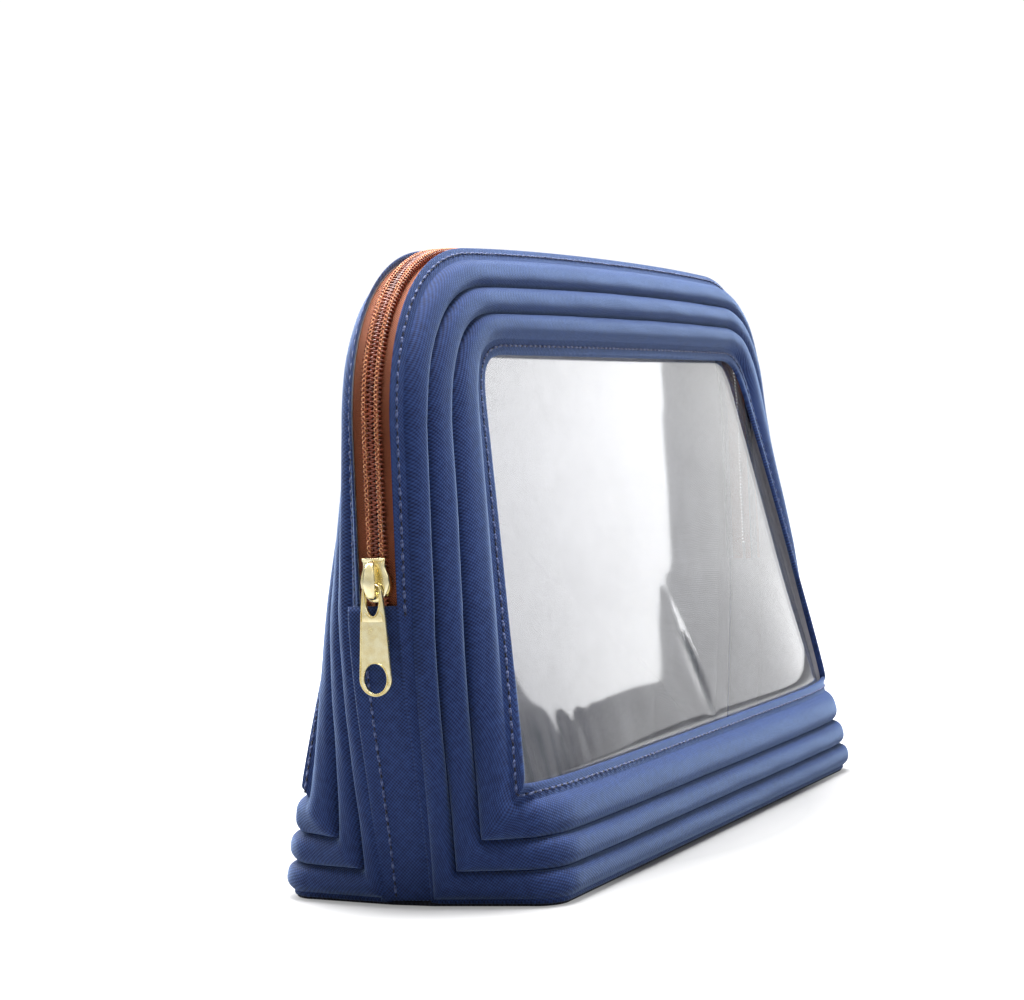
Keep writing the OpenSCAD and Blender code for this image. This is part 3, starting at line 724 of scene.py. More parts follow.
def front_shell():
    rows = np.concatenate([OUTER, WINDOW_EDGE, INNER, RIM_EDGE])
    uv = np.concatenate([UV_OUT, edge_uv(UV_OUT[-1], UV_IN[0]), UV_IN, edge_uv(UV_IN[-1], UV_OUT[0])])
    faces = grid_faces(len(rows), RING, close_rows=True, close_cols=True)
    lined = np.zeros((len(rows), RING), int)
    lined[len(OUTER) + EDGE_STEPS:len(OUTER) + EDGE_STEPS - 1 + len(INNER)] = 1
    obj = add_mesh("front_shell", to_front(rows).reshape(-1, 3), faces, [NAVY, LINING], uv.reshape(-1, 2),
                   lined.ravel())
    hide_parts("front_shell_lower", "front_fold", "front_shell_upper")
    bend_with_flap(obj)


def bow_of(below, t_low, t_high, top):
    """How far a panel bulges and how squarely, from shares of the height below and above the fold."""
    return (np.where(below, mix(FOOT_BOW, FOLD_BOW, t_low), mix(FOLD_BOW, top, t_high)),
            np.where(below, mix(FOOT_POWER, FOLD_POWER, t_low), FOLD_POWER))


def panel_rows(shares, depth):
    """Rings that close the rear panel from the window outline to its middle, bowed out."""
    out = []
    for f in shares:
        x = WINDOW[:, 0] * (1 - f)
        z = mix(WINDOW[:, 2], PANEL_Z, f)
        bow, power = bow_of(z < FOLD, (z - WIN_LOW) / (FOLD - WIN_LOW), (z - FOLD) / (WIN_HIGH - FOLD),
                            PANEL_TOP_BOW)

        def surface(px, pz):
            share = np.clip(np.abs(px) / window_x(pz), 0, 1)
            return window_y(pz) + bow * (1 - share**power)
        edge = WINDOW[:, 1] - surface(WINDOW[:, 0], WINDOW[:, 2])
        out.append(cols(x, surface(x, z) + edge * (1 - f) - depth, z))
    return np.stack(out)


def closed_rings(rows, uv, split, y_out, y_in):
    """Points, faces and uv of rings over both faces of a shell, which each end in a fan at the
    middle of the panel: the outer face before ring split, the inner one from there on."""
    faces = grid_faces(len(rows), RING, close_rows=True, close_cols=True)
    faces = [f for k, f in enumerate(faces) if k // RING != split - 1]
    points = np.concatenate([rows.reshape(-1, 3), [[0, y, PANEL_Z] for y in (y_out, y_in)]])
    faces += fans(RING, (split - 1) * RING, len(points) - 2, split * RING, len(points) - 1)
    return points, [f[::-1] for f in faces], np.concatenate([uv.reshape(-1, 2), [[0, PANEL_Z]] * 2])


def rear_shell():
    shares = np.array([0.03, 0.08, 0.15, 0.25, 0.36, 0.48, 0.6, 0.72, 0.84, 0.93])
    # a sewn seam runs round the panel at the window outline: a shallow groove
    panel_out, panel_in = panel_rows(shares, 0.0), panel_rows(shares[::-1], PADDING)
    crown = 0.5 * np.exp(-((shares - 0.08) / 0.05) ** 2)
    panel_out[..., 1] += crown[:, None]
    seam = OUTER[-1] + normal_at(np.ones(1))[0] * 0.45
    rows = np.concatenate([RIM_EDGE, OUTER[:-1], seam[None], panel_out, panel_in, INNER])
    uv = np.concatenate([edge_uv(UV_IN[-1], UV_OUT[0]), UV_OUT, panel_out[..., [0, 2]],
                         panel_in[..., [0, 2]], UV_IN])
    split = len(RIM_EDGE) + len(OUTER) + len(shares)
    y = panel_rows([0.999], 0.0)[0, 0, 1]
    points, faces, uv = closed_rings(rows, uv, split, y, y - PADDING)
    row_of = np.repeat(np.delete(np.arange(len(rows)), split - 1), RING)
    lined = (row_of >= split) & (row_of < len(rows) - 1)
    in_panel = (row_of >= split - len(shares) - 1) & (row_of < split + len(shares))
    obj = add_mesh("rear_shell_padded", points, faces, [NAVY, LINING], uv,
                   np.concatenate([lined, np.tile([0, 1], RING)]), points[:, [0, 2]],
                   np.concatenate([in_panel, np.ones(2 * RING, bool)]))
    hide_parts("rear_shell")
    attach(obj, "case")


def rear_lining():
    gap, thick = 0.8, 0.8
    q = np.array([0.29, 0.31, 0.335, 0.36, 0.386, 0.45, 0.515, 0.58, 0.643, 0.7, 0.765, 0.82, 0.886])
    shares = np.array([0.12, 0.2, 0.3, 0.42, 0.55, 0.68, 0.8, 0.92])
    layers = []
    for d in (0.0, thick):
        band = skin_at(q) + normal_at(q) * (PADDING + gap + d)
        layers.append(np.concatenate([band, panel_rows(shares, PADDING + gap + d)]))
    outer, inner = layers
    way = unit(outer[0] - outer[1])
    edge = rolled(inner[0], outer[0], way, thick / 2)
    rows = np.concatenate([edge, outer, inner[::-1]])
    split = len(edge) + len(outer)
    uv = rows[..., [0, 2]] + rows[..., [1, 1]] * unit(RIM[:, [0, 2]] - [[0, PANEL_Z]])[None]
    points, faces, uv = closed_rings(rows, uv, split, outer[-1, :, 1].mean(), inner[-1, :, 1].mean())
    obj = add_mesh("rear_lining_cloth", points, faces, [LINING], uv)
    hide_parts("rear_lining")
    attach(obj, "case")


front_shell()
rear_shell()
rear_lining()

# ---------------------------------------------------------------- the clear pane
PANE_Q, PANE_IN, PANE_THICK = 0.93, 2.3, 0.5


def pane():
    edge = (skin_at(np.array([PANE_Q])) + normal_at(np.array([PANE_Q])) * PANE_IN)[0]
    rows = np.arange(I_SIDE, I_TOP + 1)
    across = np.sin(np.linspace(-np.pi / 2, np.pi / 2, 161))
    bow, power = (v[:, None] for v in bow_of(rows < I_FOLD, (rows - I_SIDE) / (I_FOLD - I_SIDE),
                                             (rows - I_FOLD) / (I_TOP - I_FOLD), PANE_TOP_BOW))
    faces_of = []
    for d in (0.0, PANE_THICK):
        x = edge[rows, 0][:, None] * across[None] * (1 - d * 0.004)
        y = edge[rows, 1][:, None] - d + bow * (1 - np.abs(across)[None] ** power)
        z = edge[rows, 2][:, None] + 0 * x
        # the film is pulled a little uneven where it is sewn, most of all low down at the left
        inside = np.clip((1 - np.abs(across)) / 0.12, 0, 1)[None] * np.clip((z - WIN_LOW) / 10, 0, 1)
        inside = inside * np.clip((WIN_HIGH - z) / 8, 0, 1)
        low_left = np.exp(-((x + 104) / 18) ** 2 - ((z - 34) / 6) ** 2)
        ripple = 0.16 * np.sin(x / 1.6 + 0.1 * z) * low_left + 0.02 * np.sin(x / 23 + z / 31 + 1)
        crease = 0.45 * np.exp(-((x + 0.5 * (z - 46)) / 2.2) ** 2 - ((z - 44) / 13) ** 2)
        y = y + inside * (ripple - crease)
        faces_of.append(to_front(np.stack([x, y, z], -1)))
    outer, inner = faces_of
    n = len(across)
    count = len(rows)
    grid = np.concatenate([outer, inner[:, ::-1]], axis=1)
    faces = list(grid_faces(count, 2 * n, close_cols=True))
    faces += [(k, 2 * n - 1 - k, 2 * n - 2 - k, k + 1) for k in range(n - 1)]
    last = (count - 1) * 2 * n
    faces += [(last + k + 1, last + 2 * n - 2 - k, last + 2 * n - 1 - k, last + k) for k in range(n - 1)]
    obj = add_mesh("window_pane", grid.reshape(-1, 3), faces, [VINYL], grid[..., [0, 2]].reshape(-1, 2))
    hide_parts("window_lower", "window_fold", "window_upper")
    bend_with_flap(obj)


pane()

# ---------------------------------------------------------------- the zip's path
TAPE_FIRST = -4.5  # the tape starts this far below the chain's end


def zip_line():
    """x, z and the outward direction along the zip, over arc length from +X over the top to -X."""
    first = int(np.argmin(np.abs(RIM[:I_FOLD, 2] - (FOLD + TAPE_FIRST))))
    idx = np.arange(first, RING - first + 1)
    line = RIM[idx][:, [0, 2]]
    s = arc(line)
    fine = np.linspace(0, s[-1], 2400)
    xz = read_at(fine, s, line)
    way = unit(np.gradient(xz, axis=0))
    kernel = np.ones(31) / 31
    way = unit(np.stack([np.convolve(np.pad(v, 15, mode="edge"), kernel, "valid") for v in way.T], -1))
    out = np.stack([way[:, 1], -way[:, 0]], -1)
    return fine, np.concatenate([xz, out, way], axis=1)


ZIP_S, ZIP_LINE = zip_line()
ZIP_LENGTH = ZIP_S[-1]


def on_zip(s, y, h):
    """Points beside the zip's path: y across, h outwards of the rims' surface."""
    p = read_at(s, ZIP_S, ZIP_LINE)
    return np.stack([p[..., 0] + p[..., 2] * h, y + 0 * h, p[..., 1] + p[..., 3] * h], -1)


def zip_strap(name, section, step, materials, first=0.0, last=None, wave=None):
    """A strip of constant section along the zip, from (y, h) points."""
    last = ZIP_LENGTH if last is None else last
    s = np.linspace(first, last, int((last - first) / step) + 1)
    section = np.asarray(section, float)
    grid_s = np.repeat(s[:, None], len(section), 1)
    y, h = np.repeat(section[None, :, 0], len(s), 0), np.repeat(section[None, :, 1], len(s), 0)
    if wave is not None:
        h = h + wave(grid_s)
    rows = on_zip(grid_s, y, h)
    uv = np.stack([grid_s, np.repeat(arc(section)[None], len(s), 0)], -1)
    area = sum(a[0] * b[1] - b[0] * a[1] for a, b in zip(section, np.roll(section, -1, 0)))
    return tube(name, rows, materials, uv, flip=area > 0)


def round_section(y0, y1, h0, h1):
    """A flat strip's section with round edges."""
    r, cy, ch = (h1 - h0) / 2, (y0 + y1) / 2, (h0 + h1) / 2
    half = (y1 - y0) / 2 - r
    a = np.linspace(-np.pi / 2, np.pi / 2, 8)
    right = np.stack([cy + half + r * np.cos(a), ch + r * np.sin(a)], -1)
    left = np.stack([cy - half - r * np.cos(a), ch - r * np.sin(a)], -1)
    mid = np.linspace(-half, half, 7)[1:-1]
    top = np.stack([cy - mid, ch + r + 0 * mid], -1)
    bottom = np.stack([cy + mid, ch - r + 0 * mid], -1)
    return np.concatenate([right, top, left, bottom])


def zip_pair(name, side, make):
    """One object for each side of the zip; the rear one goes with the case, the front one has its placement
    baked into its mesh.
    """
    obj = make(name, side)
    if side > 0:
        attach(obj, "case")
    else:
        bend_with_flap(obj)
    return obj


TAPE_LEVEL = (-2.25, -1.65)


def tape(name, side):
    section = round_section(0.55, 5.5, *TAPE_LEVEL) * [side, 1]
    obj = zip_strap(name, section, 1.2, [TAPE])
    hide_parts("zip_tape_rear" if side > 0 else "zip_tape_front")
    return obj


COIL_PITCH = 1.15
WIRE = 0.25
COIL_START = 5.4  # arc length at which the chain starts, just above its stops
COIL_TURNS = int((ZIP_LENGTH - 2 * COIL_START) / COIL_PITCH)


def coil(name, side):
    """Flattened helix of wire; the two sides' heads interlock at the zip plane."""
    per = 14
    phi = np.arange(COIL_TURNS * per + 1) / per * 2 * np.pi
    wide, tall, y_mid, h_mid = 1.5, 0.72, 1.16, -0.72
    y = y_mid - wide * squared(np.cos(phi), 0.8)
    h = h_mid + tall * squared(np.sin(phi), 0.75)
    turned = phi / (2 * np.pi) + 0.16 * np.sin(phi + 0.4) + (0.5 if side < 0 else 0.0)
    s = COIL_START + COIL_PITCH * turned
    centre = on_zip(s, y * side, h)
    run = unit(np.gradient(centre, axis=0))
    p = read_at(s, ZIP_S, ZIP_LINE)
    out = np.stack([p[:, 2], 0 * s, p[:, 3]], -1)
    a = unit(np.cross(run, out) + 1e-6)
    b = np.cross(run, a)
    ang = circle(6)
    head = 1 + 0.6 * np.clip(-(y - 0.4) / 0.7, 0, 1)  # the heads are pressed wider
    rows = centre[:, None] + (WIRE * head)[:, None, None] * (
        a[:, None] * np.cos(ang)[None, :, None] + b[:, None] * np.sin(ang)[None, :, None])
    obj = tube(name, rows, [COIL])
    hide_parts("zip_coil_rear" if side > 0 else "zip_coil_front")
    return obj


def coil_core(name, side):
    """The filler cord inside the coil."""
    a = circle(8)
    section = np.stack([side * (1.5 + 0.5 * np.cos(a)), -0.72 + 0.34 * np.sin(a)], -1)
    obj = zip_strap(name, section, 1.5, [COIL_THREAD], COIL_START - 0.6, ZIP_LENGTH - COIL_START + 0.6)
    return obj


def chain_stitch(name, side):
    """Two rows of thread loops that hold the coil down, one loop over each turn."""
    bb, ss = np.meshgrid(circle(10), circle(5), indexing="ij")
    # local axes: along the zip, across it, outwards
    loop = np.stack([(0.46 + 0.15 * np.cos(ss)) * np.cos(bb), (0.42 + 0.15 * np.cos(ss)) * np.sin(bb),
                     0.15 * np.sin(ss) - 0.13 * np.cos(bb)], -1).reshape(-1, 3)
    faces = grid_faces(10, 5, close_rows=True, close_cols=True)
    s = COIL_START + COIL_PITCH * (np.arange(COIL_TURNS) + 0.35 + (0.5 if side < 0 else 0.0))
    p = read_at(s, ZIP_S, ZIP_LINE)
    zero = 0 * s
    run, out = np.stack([p[:, 4], zero, p[:, 5]], -1), np.stack([p[:, 2], zero, p[:, 3]], -1)
    across = np.stack([zero, zero + side, zero], -1)
    frames = np.stack([run, across, out], 1)
    points, quads = repeat(loop, faces, frames, on_zip(s, zero + side * 1.62, zero + 0.24))
    obj = add_mesh(name, points, quads if side > 0 else quads[:, ::-1], [COIL_THREAD])
    return obj


def binding(name, side):
    """Folded tape round the seam inside, which hangs from the zip tape."""
    a = circle(16)
    y = 4.25 + 0.7 * squared(np.cos(a), 0.5)
    h = -4.3 + 2.0 * squared(np.sin(a), 0.6)
    section = np.stack([side * y, h], -1)
    obj = zip_strap(name, section, 2.0, [BINDING], wave=lambda s: 0.12 * np.sin(s / 5.3))
    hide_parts("seam_binding_rear" if side > 0 else "seam_binding_front")
    return obj


for tag, side in (("rear", 1), ("front", -1)):
    zip_pair(f"tape_{tag}", side, tape)
    zip_pair(f"coil_{tag}", side, coil)
    zip_pair(f"coil_core_{tag}", side, coil_core)
    zip_pair(f"chain_stitch_{tag}", side, chain_stitch)
    zip_pair(f"binding_{tag}", side, binding)


# ---------------------------------------------------------------- stitches
def capsule(length, r, bow):
    """A short thread dash along x with rounded ends, lying in the x-y plane and lifted along z."""
    n, k = 7, 6
    t = np.linspace(-1, 1, n)
    size = r * np.sqrt(np.clip(1 - np.abs(t) ** 4, 0, 1)) + 0.02
    a = circle(k)
    x = np.repeat((t * length / 2)[:, None], k, 1)
    y = size[:, None] * np.cos(a)[None]
    z = size[:, None] * 0.75 * np.sin(a)[None] + bow * (1 - t**2)[:, None]
    points = np.stack([x, y, z], -1).reshape(-1, 3)
    return points, grid_faces(n, k, close_cols=True)


def bead(rx, ry, rz):
    """A small flattened round, used for the dark rounds of painted shade at the needle holes."""
    n, k = 5, 8
    t = np.linspace(-np.pi / 2, np.pi / 2, n)
    a = circle(k)
    x = rx * np.outer(np.cos(t) + 0.02, np.cos(a))
    y = ry * np.outer(np.cos(t) + 0.02, np.sin(a))
    z = rz * np.repeat(np.sin(t)[:, None], k, 1)
    return np.stack([x, y, z], -1).reshape(-1, 3), grid_faces(n, k, close_cols=True)


STITCH_PITCH = 3.1


def stitch_row(name, line, outward, closed=False, lift=0.12):
    """Thread dashes, and dark rounds of painted shade at the needle holes, along a line of points with
    outward directions.
    """
    length = arc(line)[-1]
    count = max(int(round(length / STITCH_PITCH)), 2)
    step = length / count

    def stand(at, reach):
        """Middle, direction and outward direction on the line, over a short reach to both sides."""
        p, p2 = along(line, at - reach), along(line, at + reach)
        return (p + p2) / 2, unit(p2 - p), unit(along(line, at, outward))

    rng = np.random.default_rng(len(name) * 7 + count)
    mids = (np.arange(count) + 0.5) * step + rng.normal(0, 0.06, count)
    middle, run, n = stand(mids, 0.4)
    run = unit(run + np.cross(n, run) * rng.normal(0, 0.09, count)[:, None])
    frames = np.stack([run, np.cross(n, run), n], 1)
    dash = add_mesh(name, *repeat(*capsule(step * 0.66, 0.3, 0.12), frames, middle + n * lift), [NAVY_THREAD])
    middle, run, n = stand(np.arange(count + (0 if closed else 1)) * step, 0.3)
    frames = np.stack([run, np.cross(n, run), n], 1)
    # painted shade: dark rounds at the needle holes
    holes = add_mesh(name + "_hole_shade", *repeat(*bead(0.62, 0.3, 0.12), frames, middle + n * 0.02), [NEEDLE_HOLE_SHADE])
    return dash, holes


def ring_line(q, first, last):
    """A line on the outer surface at q, between two ring samples, and its outward direction."""
    q = np.array([q])
    idx = np.arange(first, last + 1) % RING
    return outside(q)[0][idx], -normal_at(q)[0][idx]


def shell_stitches():
    first = int(np.argmin(np.abs(RIM[:I_FOLD, 2] - (FOLD - 1.2))))
    for tag, turn in (("front", to_front), ("rear", lambda p: p)):
        line, out = ring_line(0.052, first, RING - first)
        rim_row = stitch_row(f"rim_stitches_{tag}", turn(line), turn(out))
        line, out = ring_line(0.945, 0, RING)
        window_row = stitch_row(f"window_stitches_{tag}", turn(line), turn(out), closed=True)
        for o in (*rim_row, *window_row):
            if tag == "front":
                bend_with_flap(o)
            else:
                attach(o, "case")


shell_stitches()


# ---------------------------------------------------------------- end strips below the zip
STRIP_TOP = FOLD + 0.4


def end_strip(name, side):
    """The end gusset: flush with the front rim, hemmed over the rear one, with one row of stitches."""
    zs = np.linspace(FLOOR + 0.2, STRIP_TOP, 56)
    x = low_x(zs)
    slope = np.gradient(x, zs)
    out = unit(np.stack([np.ones_like(zs), -slope], -1))
    y, level = np.array([
        (-5.9, -0.55), (-5.2, -0.28), (-4.4, 0.02), (-3.4, 0.24), (-2.0, 0.38), (0.0, 0.5), (2.0, 0.62),
        (4.0, 0.78), (5.6, 0.92), (6.8, 1.0), (7.5, 0.94), (7.85, 0.7), (7.9, 0.42), (7.7, 0.16),
        (7.0, 0.06), (5.7, 0.03), (5.2, -0.3), (5.0, -0.9), (4.2, -1.2), (0.0, -1.25), (-4.2, -1.2),
        (-5.1, -1.1), (-5.6, -0.9)]).T
    fold = np.clip((zs - STRIP_TOP + 2.5) / 2.5, 0, 1) ** 2  # the top end is turned in over the tape
    h = level - np.where(level > 0, 0.5 * fold[:, None] * level, 0)
    h = h + 0.05 * np.sin(zs / 6.1)[:, None] * (level > 0)
    rows = np.stack([side * (x[:, None] + out[:, :1] * h), y + 0 * h, zs[:, None] + out[:, 1:] * h], -1)
    uv = np.stack([y + 0 * h + side * 3, arc(np.stack([x, zs], -1))[:, None] + 0 * h], -1)
    obj = tube(name, rows, [NAVY, LINING], uv, flip=side < 0)
    for polygon in obj.data.polygons:
        if polygon.normal[0] * side < -0.5:
            polygon.material_index = 1
    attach(obj, "case")
    line = np.stack([side * (x + out[:, 0] * 0.74), 3.7 + 0 * zs, zs + out[:, 1] * 0.74], -1)[1:-2]
    normal = np.stack([side * out[:, 0], 0 * zs - 0.1, out[:, 1]], -1)[1:-2]
    for o in stitch_row(f"{name}_stitches", line, normal, lift=0.1):
        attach(o, "case")
    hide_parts("gusset_left" if side < 0 else "gusset_right")


end_strip("end_strip_left", -1)
end_strip("end_strip_right", 1)


# ---------------------------------------------------------------- the base
def plan(inset):
    """The base's outline drawn smaller by the inset, anticlockwise from +X."""
    r = BEND - min(inset, BEND - 2)
    cx, cy = BASE_HALF - inset - r, DEPTH_HALF - inset - r
    a = np.linspace(0, np.pi / 2, 14)
    corner = np.stack([cx + r * np.cos(a), cy + r * np.sin(a)], -1)
    end = np.stack([END_HALF - inset + 0 * np.arange(3), np.array([0, GAP / 2, GAP])], -1)
    slope = end[-1] + (corner[0] - end[-1]) * np.linspace(0, 1, 9)[1:-1, None]
    edge = corner[-1] * np.linspace(1, 0, 24)[1:, None] * [1, 0] + [0, cy + r]
    quarter = np.concatenate([end, slope, corner, edge])
    half = np.concatenate([quarter, (quarter * [-1, 1])[:-1][::-1]])
    return mirrored(half, [1, -1])


def pad_of(name, inset, bottom, top, material):
    """A thin plate with rounded edges and a fanned middle."""
    thick = top - bottom
    edge = [(0.35, 0.0), (0.08, 0.18), (0.0, 0.5), (0.08, 0.82), (0.35, 1.0)]  # inset and level, as shares
    loops = [plan(inset + thick * e) for e, _ in edge]
    rings = [np.column_stack([loop, np.full(len(loop), bottom + thick * z)])
             for loop, (_, z) in zip(loops, edge)]
    shrink = [0.97, 0.9, 0.78, 0.62, 0.45, 0.28, 0.12]
    under, upper = ([ring * [f, f, 1] for f in shrink] for ring in (rings[0], rings[-1]))
    rows = np.array(under[::-1] + rings + upper)
    n = rows.shape[1]
    points = np.concatenate([rows.reshape(-1, 3), [[0, 0, bottom], [0, 0, bottom + thick]]])
    faces = list(grid_faces(len(rows), n, close_cols=True))
    faces += fans(n, (len(rows) - 1) * n, len(points) - 1, 0, len(points) - 2)
    return add_mesh(name, points, faces, [material], points[:, :2])


base = pad_of("base_cover_cloth", COVER_INSET, 0.0, COVER_HIGH[2], BASE_CLOTH)
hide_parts("base_cover")
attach(base, "case")
floor_cloth = pad_of("base_lining_cloth", LINING_INSET, LINING_LOW[2], LINING_HIGH[2], LINING)
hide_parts("base_lining")
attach(floor_cloth, "case")
board_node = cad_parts["base_board"]
board_node.data.materials.clear()
board_node.data.materials.append(BOARD)


# ---------------------------------------------------------------- slider, crown and pull
def local(points):
    """From the slider's own (outwards, across, up) in mm to the frame."""
    p = np.asarray(points, float)
    return np.stack([-REACH - p[..., 0], p[..., 1], SLIDER_Z + p[..., 2]], -1)


def smooth_loop(corners, count):
    """A closed smooth outline through a few points."""
    p0, p1, p2, p3 = (np.roll(np.array(corners, float), k, 0)[:, None] for k in (1, 0, -1, -2))
    t = (np.arange(count) / count)[None, :, None]
    out = 0.5 * ((2 * p1) + (p2 - p0) * t + (2 * p0 - 5 * p1 + 4 * p2 - p3) * t * t
                 + (3 * p1 - p0 - 3 * p2 + p3) * t**3)
    return out.reshape(-1, 2)


def offset(loop, d):
    """The outline moved inwards by d; loops run anticlockwise."""
    way = unit(np.roll(loop, -1, 0) - np.roll(loop, 1, 0))
    return loop + np.stack([-way[:, 1], way[:, 0]], -1) * d


def inset(loop, d):
    """The outline drawn in by about d towards its middle, so that tight corners don't fold over."""
    middle, half = (loop.max(0) + loop.min(0)) / 2, (loop.max(0) - loop.min(0)) / 2
    return middle + (loop - middle) * (1 - d / half)


def plate(loop, levels):
    """A plate with shaped edges: levels are (inset, height) from the bottom face to the top face."""
    n, count = len(loop), len(levels)
    points = [np.column_stack([np.full(n, h), inset(loop, d)]) for d, h in levels]
    faces = list(grid_faces(count, n, close_cols=True)) + [range(n)[::-1], range((count - 1) * n, count * n)]
    return np.concatenate(points), faces


def join(parts):
    """Several shapes as one list of points and one of faces, turned to face out of the slider's space."""
    faces, start = [], 0
    for points, some in parts:
        faces += [[int(v) + start for v in face][::-1] for face in some]
        start += len(points)
    return np.concatenate([points for points, _ in parts]), faces


def cast(name, parts, cad_node, body):
    """One brass casting with crisp edges, from parts in the slider's own space."""
    points, faces = join(parts)
    obj = add_mesh(name, local(points), faces, [BRASS])
    obj.data.set_sharp_from_angle(angle=math.radians(38))
    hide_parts(cad_node)
    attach(obj, body)


def slider():
    half = [(2.7, 10.95), (2.97, 10.8), (3.0, 10.5), (2.93, 9.9), (2.88, 9.2), (3.0, 8.4), (3.3, 7.5),
            (3.62, 6.6), (3.78, 5.6), (3.76, 4.6), (3.5, 3.5), (3.05, 2.5), (2.4, 1.5), (1.5, 0.6),
            (0.6, 0.2)]
    loop = smooth_loop([(-y, z) for y, z in half] + half[::-1], 3)
    post = smooth_loop([(-0.8, 1.0), (0.8, 1.0), (0.7, 3.4), (0, 5.0), (-0.7, 3.4)], 4)
    parts = [
        plate(loop, [(0.25, 0.55), (0.0, 0.75), (0.0, 1.15), (0.12, 1.4), (0.35, 1.55), (0.9, 1.62)]),  # face
        plate(loop, [(0.9, -3.5), (0.3, -3.45), (0.0, -3.2), (0.0, -2.85), (0.25, -2.6)]),  # back
        plate(post, [(0.0, -2.7), (0.0, 0.7)])]
    for s in (-1, 1):
        flange = np.array([(3.0, 1.6), (3.45, 2.6), (3.72, 3.6), (3.78, 5.0), (3.6, 6.2), (3.05, 6.4),
                           (3.0, 4.6), (2.95, 2.8)]) * [s, 1]
        parts.append(plate(smooth_loop(flange[::s], 3), [(0.15, -1.3), (0.0, -1.1), (0.0, 0.7)]))
    # a low raised lip across the top edge
    lip = smooth_loop([(-2.5, 10.0), (2.5, 10.0), (2.75, 10.35), (2.5, 10.75), (-2.5, 10.75),
                       (-2.75, 10.35)], 4)
    parts.append(plate(lip, [(0.0, 1.3), (0.0, 1.65), (0.12, 1.8), (0.3, 1.85)]))
    cast("slider_cast", parts, "slider_body", "slider")


def crown():
    """An oval bridge: a line of oval sections up, over and down, thicker and domed in the middle."""
    a = circle(16)
    # outwards, up, half width and half thickness along the bridge
    path = [(1.5, 1.7, 1.05, 0.7), (2.4, 1.6, 1.1, 0.75), (3.3, 1.85, 1.15, 0.72), (4.05, 2.8, 1.3, 0.62),
            (4.35, 4.0, 1.5, 0.56), (4.4, 5.4, 1.58, 0.54), (4.35, 6.8, 1.5, 0.56), (4.1, 8.2, 1.3, 0.6),
            (3.5, 9.15, 1.1, 0.66), (2.6, 9.6, 1.0, 0.68), (1.5, 9.65, 1.0, 0.7)]
    line = read_at(np.linspace(0, len(path) - 1, 41), np.arange(len(path)), np.array(path))
    for _ in range(3):
        line[1:-1] = (line[:-2] + 2 * line[1:-1] + line[2:]) / 4
    way = unit(np.gradient(line[:, :2], axis=0))
    x, z, wide, thick = line.T[..., None]
    d = thick * squared(np.sin(a), 0.9)
    rows = np.stack([x + way[:, 1:] * d, wide * np.cos(a), z - way[:, :1] * d], -1)
    obj = tube("slider_bridge", local(rows), [BRASS])
    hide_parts("slider_crown")
    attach(obj, "slider")


PIVOT_OUT, PIVOT_UP = 2.75, TAB_HIGH[2] - 0.75 - SLIDER_Z
TAB_LENGTH = TAB_HIGH[2] - 0.75 - TAB_LOW[2]
TIP_R = TAB_HIGH[1]


